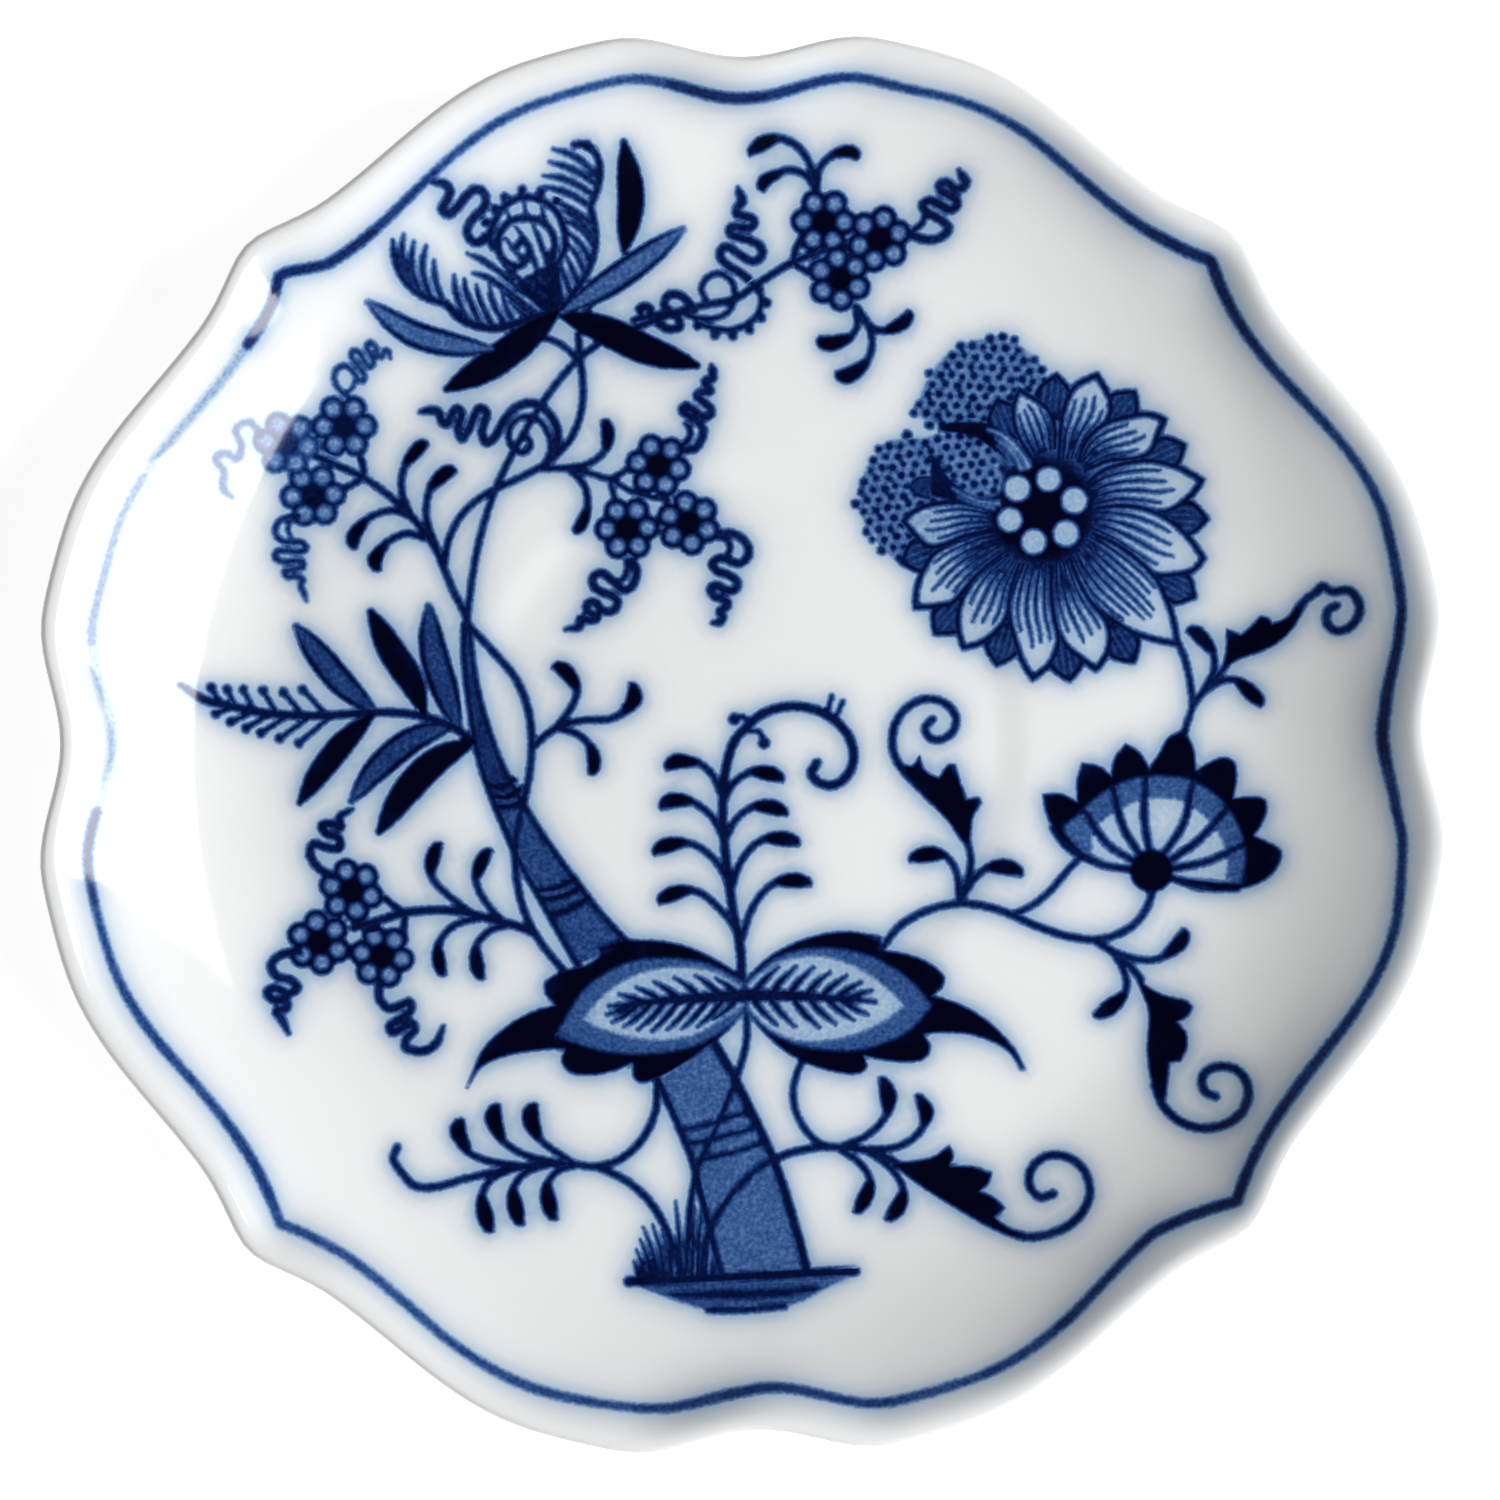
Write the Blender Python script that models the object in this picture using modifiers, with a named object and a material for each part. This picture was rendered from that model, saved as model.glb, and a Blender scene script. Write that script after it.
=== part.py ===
"""A porcelain saucer with a bracket-lobed rim, made in one piece.

The body is turned from one half profile, as on a potter's wheel, and its rim is then pressed
into lobes that die away down the wall. Units are metres, +Z is up, and the origin lies in the
middle of the foot ring, on the surface that the saucer stands on.
"""

from math import atan2, ceil, cos, degrees, hypot, pi, radians, sin, sqrt, tan

import bpy
from mathutils import Vector

MM = 0.001

# Rim, measured at the crest of a lobe
RIM_RADIUS = 76.4 * MM
RIM_HEIGHT = 19.0 * MM
RIM_THICKNESS = 1.6 * MM
LIP_WIDTH = 2.0 * MM

# Lobes: how far the rim lies inside the crest circle, and where that happens
NOTCH_DEPTH = 3.3 * MM
FLANK_DEPTH = 3.1 * MM
POINT_DEPTH = 1.0 * MM
NOTCH_COUNT = 4
NOTCH_HALF_ANGLE = 11.0
CREST_END_ANGLE = 18.0
FLANK_ANGLE = 37.0
POINT_ROUND_ANGLE = 2.4
LOBE_FADE_WIDTH = 12.5 * MM

# Well, the round recess that the cup's foot stands in
FLOOR_THICKNESS = 3.4 * MM
WELL_RADIUS = 27.0 * MM
WELL_EDGE_WIDTH = 5.0 * MM
WELL_EDGE_HEIGHT = 0.5 * MM

# Verge, the nearly level band between the well and the wall
VERGE_WIDTH = 18.0 * MM
VERGE_SLOPE = 0.03

# Underside
WALL_THICKNESS = 3.4 * MM
FOOT_RADIUS = 44.0 * MM
FOOT_HEIGHT = 4.0 * MM
FOOT_WIDTH = 3.2 * MM
FOOT_DRAFT = 12.0
FOOT_EDGE_ROUND = 0.7 * MM
FOOT_ROOT_ROUND = 1.6 * MM

# Fineness of the facets
TURN_STEPS = 120
STEP_POINTS = 4
WALL_POINTS = 7
UNDER_POINTS = 9
LIP_POINTS = 4
EDGE_POINTS = 6
ARC_STEP = 40.0

# Fired porcelain under a clear glaze
PORCELAIN_COLOUR = (0.86, 0.88, 0.90, 1.0)
GLAZE_ROUGHNESS = 0.12

FLOOR_HEIGHT = FOOT_HEIGHT + FLOOR_THICKNESS
VERGE_START_RADIUS = WELL_RADIUS + WELL_EDGE_WIDTH
VERGE_START_HEIGHT = FLOOR_HEIGHT + WELL_EDGE_HEIGHT
WALL_START_RADIUS = VERGE_START_RADIUS + VERGE_WIDTH
WALL_START_HEIGHT = VERGE_START_HEIGHT + VERGE_SLOPE * VERGE_WIDTH
LIP_END_RADIUS = RIM_RADIUS - RIM_THICKNESS / 2
LIP_START_RADIUS = LIP_END_RADIUS - LIP_WIDTH
WALL_WIDTH = LIP_START_RADIUS - WALL_START_RADIUS
# The wall is a parabola that steepens outwards, and the lip one that levels off at the rim.
# They share this slope where they meet, which brings the lip to the rim's height.
STEEPEST_SLOPE = (2 * (RIM_HEIGHT - WALL_START_HEIGHT) - WALL_WIDTH * VERGE_SLOPE) / (
    WALL_WIDTH + LIP_WIDTH
)


def smooth_step(share):
    """0 to 1 with level ends."""
    share = min(max(share, 0.0), 1.0)
    return share * share * (3 - 2 * share)


def half_wave(share):
    """0 to 1 along half a cosine wave."""
    return (1 - cos(pi * share)) / 2


def upper_height(radius):
    """Height of the upper surface: level well, soft step, verge, rising wall, levelling lip."""
    height = FLOOR_HEIGHT + WELL_EDGE_HEIGHT * smooth_step((radius - WELL_RADIUS) / WELL_EDGE_WIDTH)
    height += VERGE_SLOPE * max(min(radius, LIP_START_RADIUS) - VERGE_START_RADIUS, 0.0)
    along = max(min(radius, LIP_START_RADIUS) - WALL_START_RADIUS, 0.0)
    height += (STEEPEST_SLOPE - VERGE_SLOPE) * along**2 / (2 * WALL_WIDTH)
    past = max(radius - LIP_START_RADIUS, 0.0)
    return height + STEEPEST_SLOPE * (past - past**2 / (2 * LIP_WIDTH))


def upper_slope(radius):
    """Rise over run of the verge, the wall and the lip."""
    if radius <= LIP_START_RADIUS:
        share = max(radius - WALL_START_RADIUS, 0.0) / WALL_WIDTH
        return VERGE_SLOPE + (STEEPEST_SLOPE - VERGE_SLOPE) * share
    return STEEPEST_SLOPE * (1 - (radius - LIP_START_RADIUS) / LIP_WIDTH)


def lower_height(radius):
    """Height of the wall's underside, which thins towards the rim."""
    share = (radius - FOOT_RADIUS) / (LIP_END_RADIUS - FOOT_RADIUS)
    thickness = WALL_THICKNESS + (RIM_THICKNESS - WALL_THICKNESS) * share
    return upper_height(radius) - thickness * sqrt(1 + upper_slope(radius) ** 2)


def spaced(start, end, count):
    """count values from start towards end, leaving out end."""
    return [start + (end - start) * i / count for i in range(count)]


def rounded(before, corner, after, radius):
    """Points of an arc that rounds a corner of the profile, limited by the shorter side."""
    to_before = (before - corner).normalized()
    to_after = (after - corner).normalized()
    half = to_before.angle(to_after) / 2
    setback = min(radius / tan(half), 0.45 * min((before - corner).length, (after - corner).length))
    radius = setback * tan(half)
    middle = corner + (to_before + to_after).normalized() * hypot(setback, radius)
    start = corner + to_before * setback - middle
    turn = start.angle_signed(corner + to_after * setback - middle)
    count = max(ceil(abs(degrees(turn)) / ARC_STEP), 2)
    first = atan2(start.y, start.x)
    angles = [first - turn * i / count for i in range(count + 1)]
    return [middle + Vector((cos(angle), sin(angle))) * radius for angle in angles]


def upper_profile():
    """Points of the upper surface from the axis to the rim."""
    radii = [0.0]
    radii += spaced(WELL_RADIUS, VERGE_START_RADIUS, STEP_POINTS)
    radii += [VERGE_START_RADIUS]
    radii += spaced(WALL_START_RADIUS, LIP_START_RADIUS, WALL_POINTS)
    radii += spaced(LIP_START_RADIUS, LIP_END_RADIUS, LIP_POINTS)
    return [Vector((radius, upper_height(radius))) for radius in radii]


def edge_profile():
    """Points of the round edge from the top of the rim to its underside."""
    edge_radius = RIM_THICKNESS / 2
    middle = Vector((LIP_END_RADIUS, RIM_HEIGHT - edge_radius))
    angles = spaced(pi / 2, -pi / 2, EDGE_POINTS)
    return [middle + Vector((cos(angle), sin(angle))) * edge_radius for angle in angles]


def lower_profile():
    """Points of the underside from the rim to the axis, with the foot ring."""
    draft = tan(radians(FOOT_DRAFT))
    outer_root_radius = FOOT_RADIUS + draft * lower_height(FOOT_RADIUS)
    outer_root = Vector((outer_root_radius, lower_height(outer_root_radius)))
    outer_foot = Vector((FOOT_RADIUS, 0.0))
    inner_foot = Vector((FOOT_RADIUS - FOOT_WIDTH, 0.0))
    inner_root = Vector((inner_foot.x - draft * FOOT_HEIGHT, FOOT_HEIGHT))
    axis = Vector((0.0, FOOT_HEIGHT))
    wall_radii = spaced(LIP_END_RADIUS, LIP_START_RADIUS, LIP_POINTS)
    wall_radii += spaced(LIP_START_RADIUS, outer_root_radius, UNDER_POINTS)
    wall = [Vector((radius, lower_height(radius))) for radius in wall_radii]
    foot = rounded(wall[-1], outer_root, outer_foot, FOOT_ROOT_ROUND)
    foot += rounded(outer_root, outer_foot, inner_foot, FOOT_EDGE_ROUND)
    foot += rounded(outer_foot, inner_foot, inner_root, FOOT_EDGE_ROUND)
    foot += rounded(inner_foot, inner_root, axis, FOOT_ROOT_ROUND)
    return wall + foot + [axis]


def rounded_rise(from_point):
    """Rises with the angle from a lobe's point, level at first so that the point is blunt."""
    return hypot(from_point, POINT_ROUND_ANGLE) - POINT_ROUND_ANGLE


def lobe_inset(angle):
    """How far the rim lies inside the crest circle at an angle about the axis."""
    spacing = 360.0 / NOTCH_COUNT
    from_notch = abs((degrees(angle) + spacing / 2) % spacing - spacing / 2)
    if from_notch < NOTCH_HALF_ANGLE:
        return NOTCH_DEPTH * (1 - half_wave(from_notch / NOTCH_HALF_ANGLE))
    if from_notch < CREST_END_ANGLE:
        return 0.0
    if from_notch < FLANK_ANGLE:
        return FLANK_DEPTH * half_wave((from_notch - CREST_END_ANGLE) / (FLANK_ANGLE - CREST_END_ANGLE))
    share = rounded_rise(spacing / 2 - from_notch) / rounded_rise(spacing / 2 - FLANK_ANGLE)
    return POINT_DEPTH + (FLANK_DEPTH - POINT_DEPTH) * share * (2 - share)


def press_lobes(mesh):
    """Draws the turned rim in to the lobed outline, fading to round down the wall."""
    for vertex in mesh.vertices:
        radius = hypot(vertex.co.x, vertex.co.y)
        fade = smooth_step((radius - RIM_RADIUS + LOBE_FADE_WIDTH) / LOBE_FADE_WIDTH)
        if fade > 0:
            scale = 1 - lobe_inset(atan2(vertex.co.y, vertex.co.x)) * fade / radius
            vertex.co.x *= scale
            vertex.co.y *= scale


def turned(name, profile):
    """A mesh turned about the Z axis from a profile that runs from its top to its bottom."""
    outline = bpy.data.meshes.new(f"{name}_profile")
    points = [(point.x, 0.0, point.y) for point in profile]
    outline.from_pydata(points, [(i, i + 1) for i in range(len(points) - 1)], [])
    guide = bpy.data.objects.new(f"{name}_profile", outline)
    bpy.context.scene.collection.objects.link(guide)
    screw = guide.modifiers.new("Turn", "SCREW")
    screw.axis = "Z"
    screw.angle = 2 * pi
    screw.steps = TURN_STEPS
    screw.render_steps = TURN_STEPS
    screw.use_merge_vertices = True
    screw.merge_threshold = 0.00001
    graph = bpy.context.evaluated_depsgraph_get()
    mesh = bpy.data.meshes.new_from_object(guide.evaluated_get(graph))
    bpy.data.objects.remove(guide)
    bpy.data.meshes.remove(outline)
    mesh.name = name
    return mesh


def glazed_porcelain():
    material = bpy.data.materials.new("glazed_porcelain")
    material.use_nodes = True
    shader = material.node_tree.nodes["Principled BSDF"]
    shader.inputs["Base Color"].default_value = PORCELAIN_COLOUR
    shader.inputs["Roughness"].default_value = GLAZE_ROUGHNESS
    shader.inputs["Metallic"].default_value = 0.0
    return material


def make_saucer(collection):
    mesh = turned("saucer", upper_profile() + edge_profile() + lower_profile())
    press_lobes(mesh)
    mesh.shade_smooth()
    mesh.set_sharp_from_angle(angle=radians(40.0))
    mesh.materials.clear()
    mesh.materials.append(glazed_porcelain())
    saucer = bpy.data.objects.new("saucer", mesh)
    collection.objects.link(saucer)
    return saucer


def main():
    for existing in list(bpy.data.objects):
        bpy.data.objects.remove(existing)
    collection = bpy.data.collections.new("saucer")
    bpy.context.scene.collection.children.link(collection)
    make_saucer(collection)


main()
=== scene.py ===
"""A bracket-lobed porcelain saucer, painted under the glaze with a traditional blue flower pattern.

The saucer is one closed mesh. Its painting is laid into that mesh: the outlines of the brush marks
are cut into the upper surface, and each vertex carries how much blue lies there. Lengths are in
millimetres, with +X to the right and +Y away, until the mesh is made in metres. The studio round it
is in metres.
"""

from math import atan2, ceil, cos, hypot, pi, radians, sin, tan

import bpy
import numpy as np
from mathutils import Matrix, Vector
from mathutils.geometry import delaunay_2d_cdt


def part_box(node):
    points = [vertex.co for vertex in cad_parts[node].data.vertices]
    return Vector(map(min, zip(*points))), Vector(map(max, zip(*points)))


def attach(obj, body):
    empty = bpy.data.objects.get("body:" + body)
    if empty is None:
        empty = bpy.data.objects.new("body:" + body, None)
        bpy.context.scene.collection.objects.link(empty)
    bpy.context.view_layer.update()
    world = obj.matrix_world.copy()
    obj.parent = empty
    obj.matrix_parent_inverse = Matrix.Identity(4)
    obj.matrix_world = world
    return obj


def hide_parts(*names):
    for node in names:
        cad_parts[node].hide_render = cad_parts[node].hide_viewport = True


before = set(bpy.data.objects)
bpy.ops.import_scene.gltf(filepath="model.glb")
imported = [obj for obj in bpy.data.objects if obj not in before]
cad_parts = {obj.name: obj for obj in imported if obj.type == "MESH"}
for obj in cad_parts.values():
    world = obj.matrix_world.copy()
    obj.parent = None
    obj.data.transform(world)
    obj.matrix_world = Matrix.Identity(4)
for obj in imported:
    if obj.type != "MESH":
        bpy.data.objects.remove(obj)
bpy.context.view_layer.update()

MM = 0.001

# Form of the body, as in the part's source
RIM_RADIUS = 76.4
RIM_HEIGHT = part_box("saucer")[1].z / MM
RIM_THICKNESS = 1.6
LIP_WIDTH = 2.0
NOTCH_DEPTH = 3.3
FLANK_DEPTH = 3.1
POINT_DEPTH = 1.0
NOTCH_SPACING = 90.0
NOTCH_HALF_ANGLE = 11.0
CREST_END_ANGLE = 18.0
FLANK_ANGLE = 37.0
POINT_ROUND_ANGLE = 2.4
LOBE_FADE_WIDTH = 12.5
FLOOR_THICKNESS = 3.4
WELL_RADIUS = 27.0
WELL_EDGE_WIDTH = 5.0
WELL_EDGE_HEIGHT = 0.5
VERGE_WIDTH = 18.0
VERGE_SLOPE = 0.03
WALL_THICKNESS = 3.4
FOOT_RADIUS = 44.0
FOOT_HEIGHT = 4.0
FOOT_WIDTH = 3.2
FOOT_DRAFT = 12.0
FOOT_EDGE_ROUND = 0.7
FOOT_ROOT_ROUND = 1.6

FLOOR_HEIGHT = FOOT_HEIGHT + FLOOR_THICKNESS
VERGE_START = WELL_RADIUS + WELL_EDGE_WIDTH
WALL_START = VERGE_START + VERGE_WIDTH
LIP_END = RIM_RADIUS - RIM_THICKNESS / 2
LIP_START = LIP_END - LIP_WIDTH
WALL_WIDTH = LIP_START - WALL_START
WALL_START_HEIGHT = FLOOR_HEIGHT + WELL_EDGE_HEIGHT + VERGE_SLOPE * VERGE_WIDTH
STEEPEST_SLOPE = (2 * (RIM_HEIGHT - WALL_START_HEIGHT) - WALL_WIDTH * VERGE_SLOPE) / (
    WALL_WIDTH + LIP_WIDTH
)

# Fineness of the mesh
RIM_STEPS = 288
GRID_STEP = 1.05
LIP_STEP = 0.7
CURVE_STEP = 0.15
CURVE_ERROR = 0.012

# Unevenness of this one rim, in degrees and millimetres: its lobes sit off the axes, and it is oval
LOBE_TURN = 0.7
LOBE_SWAY = 0.6
OVAL_ANGLE = 67.0
OVAL_DEPTH = 0.28

# Strength of the blue, from bare body to the darkest pool of colour
PALE, HAZE, MID, DEEP, HAIR, LINE, DARK = 0.17, 0.3, 0.5, 0.66, 0.79, 0.85, 0.97

# Brush marks: the width over which their edges fade, how far their colour creeps, and usual widths
SOFT_EDGE = 0.58
INK_SPREAD = 0.06
LINE_WIDTH = 0.75
TENDRIL_WIDTH = 0.92
# Lines are drawn in LINE up to the first of these widths, and darken to DARK at the second
DARKER_FROM, DARKEST_FROM = 0.8, 1.6


def smooth_step(share):
    share = np.clip(share, 0, 1)
    return share * share * (3 - 2 * share)


def half_wave(share):
    return (1 - np.cos(pi * np.clip(share, 0, 1))) / 2


def upper_height(radius):
    """Height of the upper surface: level well, soft step, verge, rising wall, levelling lip."""
    radius = np.asarray(radius, float)
    height = FLOOR_HEIGHT + WELL_EDGE_HEIGHT * smooth_step((radius - WELL_RADIUS) / WELL_EDGE_WIDTH)
    height = height + VERGE_SLOPE * np.clip(radius - VERGE_START, 0, LIP_START - VERGE_START)
    along = np.clip(radius - WALL_START, 0, WALL_WIDTH)
    height = height + (STEEPEST_SLOPE - VERGE_SLOPE) * along**2 / (2 * WALL_WIDTH)
    past = np.clip(radius - LIP_START, 0, None)
    return height + STEEPEST_SLOPE * (past - past**2 / (2 * LIP_WIDTH))


def lower_height(radius):
    """Height of the wall's underside, which thins towards the rim."""
    steepening = (STEEPEST_SLOPE - VERGE_SLOPE) * np.clip(radius - WALL_START, 0, None) / WALL_WIDTH
    levelling = STEEPEST_SLOPE * (1 - (radius - LIP_START) / LIP_WIDTH)
    slope = np.where(radius <= LIP_START, VERGE_SLOPE + steepening, levelling)
    share = (radius - FOOT_RADIUS) / (LIP_END - FOOT_RADIUS)
    thickness = WALL_THICKNESS + (RIM_THICKNESS - WALL_THICKNESS) * share
    return upper_height(radius) - thickness * np.sqrt(1 + slope**2)


def off_square(angle):
    """Degrees by which the lobes, pressed by hand, sit off their even spacing."""
    return LOBE_TURN + LOBE_SWAY * np.cos(angle) - LOBE_SWAY * np.sin(angle)


def lobe_inset(angle, point_round=POINT_ROUND_ANGLE):
    """How far the rim, a little oval from the firing, lies inside the crest circle at an angle."""
    turn = np.degrees(angle) + NOTCH_SPACING / 2 - off_square(angle)
    off = np.abs(turn % NOTCH_SPACING - NOTCH_SPACING / 2)
    notch = NOTCH_DEPTH * (1 - half_wave(off / NOTCH_HALF_ANGLE))
    flank = FLANK_DEPTH * half_wave((off - CREST_END_ANGLE) / (FLANK_ANGLE - CREST_END_ANGLE))
    half = NOTCH_SPACING / 2
    rise = np.hypot(np.minimum(half - off, half - FLANK_ANGLE), point_round) - point_round
    share = rise / (np.hypot(half - FLANK_ANGLE, point_round) - point_round)
    oval = OVAL_DEPTH * np.cos(2 * (angle - radians(OVAL_ANGLE)))
    return notch + flank - (FLANK_DEPTH - POINT_DEPTH) * (1 - share) ** 2 - oval


def pressed(radius, angle):
    """Radius, after the lobes are pressed in, of a point that was turned at this radius."""
    fade = smooth_step((radius - RIM_RADIUS + LOBE_FADE_WIDTH) / LOBE_FADE_WIDTH)
    return radius - lobe_inset(angle) * fade


def turned_radius(points):
    """The radius at which points of the finished plan were turned, before the lobes."""
    plan, angle = np.hypot(*points.T), np.arctan2(points[:, 1], points[:, 0])
    radius, rounds = plan.copy(), 40
    for _ in range(rounds):
        radius += plan - pressed(radius, angle)
    return radius


def plan_points(radius, angles):
    """Points of the finished plan at one turned radius."""
    plan = pressed(radius, angles)
    return np.column_stack([plan * np.cos(angles), plan * np.sin(angles)])


def curve(points, closed=False):
    """A smooth curve through points, whose columns may go on after X and Y with a width."""
    knots = np.array(points, float)
    if closed:
        knots = np.vstack([knots[-1:], knots, knots[:2]])
    else:
        knots = np.vstack([2 * knots[0] - knots[1], knots, 2 * knots[-1] - knots[-2]])
    parts = []
    for a, b, c, d in zip(knots, knots[1:], knots[2:], knots[3:]):
        gaps = [max(np.linalg.norm((q - p)[:2]), 1e-6) ** 0.5 for p, q in ((a, b), (b, c), (c, d))]
        ta, tb, tc, td = np.cumsum([0, *gaps])
        count = max(int(gaps[1] ** 2 / CURVE_STEP), 2)
        t = np.linspace(tb, tc, count, endpoint=False)[:, None]
        ab = ((tb - t) * a + (t - ta) * b) / (tb - ta)
        bc = ((tc - t) * b + (t - tb) * c) / (tc - tb)
        cd = ((td - t) * c + (t - tc) * d) / (td - tc)
        first = ((tc - t) * ab + (t - ta) * bc) / (tc - ta)
        second = ((td - t) * bc + (t - tb) * cd) / (td - tb)
        parts.append(((tc - t) * first + (t - tb) * second) / (tc - tb))
    if not closed:
        parts.append(knots[-2:-1])
    return np.vstack(parts)


def travelled(path):
    """Share of the way along a path at each of its points."""
    way = np.cumsum(np.hypot(*np.diff(path[:, :2], axis=0).T))
    return np.concatenate([[0], way / way[-1]])


def resampled(path, count):
    """A path's points spread evenly along its length."""
    share, way = np.linspace(0, 1, count), travelled(path)
    return np.column_stack([np.interp(share, way, column) for column in path.T])


def thinned(path):
    """The few points of a path that keep it within the allowed error."""
    keep = np.zeros(len(path), bool)
    keep[[0, -1]] = True
    spans = [(0, len(path) - 1)]
    while spans:
        first, last = spans.pop()
        if last - first < 2:
            continue
        chord = path[last] - path[first]
        off = path[first + 1 : last] - path[first]
        along = np.clip(off @ chord / max(chord @ chord, 1e-9), 0, 1)
        error = np.linalg.norm(off - along[:, None] * chord, axis=1)
        worst = int(error.argmax())
        if error[worst] > CURVE_ERROR:
            middle = first + 1 + worst
            keep[middle] = True
            spans += [(first, middle), (middle, last)]
    return path[keep]


def sideways(path):
    """Unit vectors square to a path, to its left."""
    along = np.gradient(path, axis=0)
    along /= np.maximum(np.hypot(*along.T), 1e-9)[:, None]
    return np.column_stack([-along[:, 1], along[:, 0]])


def segment_offsets(points, starts, ends):
    """Distance of every point from every segment, and the share along it of the nearest place."""
    step = ends - starts
    rel = points[:, None] - starts
    share = np.clip((rel * step).sum(2) / np.maximum((step**2).sum(1), 1e-12), 0, 1)
    return np.linalg.norm(rel - share[:, :, None] * step, axis=2), share


class Ribbon:
    """A brush line along a path whose third column is its width."""

    THINNEST = 0.02
    ROUND_ENDED_FROM = 0.2
    END_ANGLES = (60, 20, -20, -60)

    def __init__(self, path, tone, lifts):
        self.path, self.half = path[:, :2], path[:, 2] / 2 + INK_SPREAD
        self.spine = thinned(np.column_stack([self.path, self.half]))
        self.tone, self.lifts = tone, lifts
        self.soft = SOFT_EDGE
        reach = self.half.max() + SOFT_EDGE
        self.low, self.high = self.path.min(0) - reach, self.path.max(0) + reach

    def outline(self, grow):
        half = np.maximum(self.half + grow, self.THINNEST)
        across = sideways(self.path)
        sides = [self.path + across * half[:, None], (self.path - across * half[:, None])[::-1]]
        caps = []
        for end, sign in ((-1, 1), (0, -1)):
            square = across[end] * sign
            onward = np.array([square[1], -square[0]])
            turns = np.radians(self.END_ANGLES) if half[end] > self.ROUND_ENDED_FROM else [0.0]
            caps.append([self.path[end] + half[end] * (sin(t) * square + cos(t) * onward) for t in turns])
        return thinned(np.vstack([sides[0], caps[0], sides[1], caps[1]]))

    def depth(self, points):
        away, share = segment_offsets(points, self.spine[:-1, :2], self.spine[1:, :2])
        half = self.spine[:-1, 2] + share * np.diff(self.spine[:, 2])
        return (half - away).max(1)


class Patch:
    """A filled shape inside a closed outline."""

    def __init__(self, path, tone, lifts):
        x, y = path.T
        leftward = (x * np.roll(y, -1) - y * np.roll(x, -1)).sum() > 0
        self.path = thinned(path if leftward else path[::-1])
        self.tone, self.lifts, self.soft = tone, lifts, SOFT_EDGE
        self.low, self.high = path.min(0) - SOFT_EDGE, path.max(0) + SOFT_EDGE

    def outline(self, grow):
        around = np.vstack([self.path[-1:], self.path, self.path[:1]])
        return self.path - sideways(around)[1:-1] * (grow + INK_SPREAD)

    def depth(self, points):
        ends = np.roll(self.path, -1, axis=0)
        away, _ = segment_offsets(points, self.path, ends)
        x, y = points[:, :1], points[:, 1:]
        (ax, ay), (bx, by) = self.path.T, ends.T
        rise = np.where(by == ay, 1e-9, by - ay)
        crossed = ((ay > y) != (by > y)) & (x < ax + (bx - ax) * (y - ay) / rise)
        inside = crossed.sum(1) % 2 == 1
        return np.where(inside, 1, -1) * away.min(1) + INK_SPREAD


class Disc:
    """A round dot, or with a wide soft edge a round shade."""

    SMALLEST = 0.03
    FEWEST_SIDES = 7
    COARSEST = 0.3

    def __init__(self, centre, radius, tone, lifts, soft=SOFT_EDGE):
        self.centre, self.radius = np.array(centre, float), radius + (0 if lifts else INK_SPREAD)
        self.tone, self.lifts, self.soft = tone, lifts, soft
        self.low, self.high = self.centre - radius - soft, self.centre + radius + soft

    def outline(self, grow):
        radius = max(self.radius + grow, self.SMALLEST)
        half_side = np.arccos(1 - min(CURVE_ERROR / radius, self.COARSEST))
        count = max(ceil(2 * pi / half_side / 2), self.FEWEST_SIDES)
        turns = np.arange(count) * 2 * pi / count
        return self.centre + radius * np.column_stack([np.cos(turns), np.sin(turns)])

    def depth(self, points):
        return self.radius - np.hypot(*(points - self.centre).T)


# The marks, in the order of painting
painting = []


def dot(x, y, radius, tone=LINE, lifts=False):
    painting.append(Disc((x, y), radius, tone, lifts))


def line(points, width=LINE_WIDTH, start=1.0, end=1.0, tone=None, lifts=False):
    """A brush line of even width that may thin or thicken towards its ends."""
    widths = [width * start, *[width] * (len(points) - 2), width * end]
    path = curve([(x, y, w) for (x, y), w in zip(points, widths)])
    if tone is None:
        share = (width - DARKER_FROM) / (DARKEST_FROM - DARKER_FROM)
        tone = LINE + (DARK - LINE) * min(max(share, 0), 1)
    painting.append(Ribbon(path, tone, lifts))


def tendril(*points, strand=(), width=TENDRIL_WIDTH, tone=LINE):
    """A curling line that thins at its free end; a short strand may double it at its root."""
    strand_width = 0.75 * width
    line(points, width, end=0.5, tone=tone)
    if strand:
        line(strand, strand_width, end=0.6, tone=tone)


def hairs(lines, width):
    """Fine lines, each from a point where it is thin to a point where it is broad."""
    for points in lines:
        line(points, width, start=0.4, tone=HAIR)


def eased(values):
    """Values along a path with their corners rounded off."""
    reach = 3
    bell = np.ones(2 * reach + 1) / (2 * reach + 1)
    return np.convolve(np.pad(values, reach, mode="edge"), bell, mode="valid")


# Comma leaves: their stalks, their length in widths, and how far they bulge at shares of it from the tip
COMMA_STALK = 0.75
COMMA_LENGTH = 2.7
COMMA_MIDDLE = 0.42
COMMA_BULGE = ((0, 0.05), (0.05, 0.45), (0.16, 0.7), (0.4, 0.62), (1, COMMA_STALK / 2))


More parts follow.
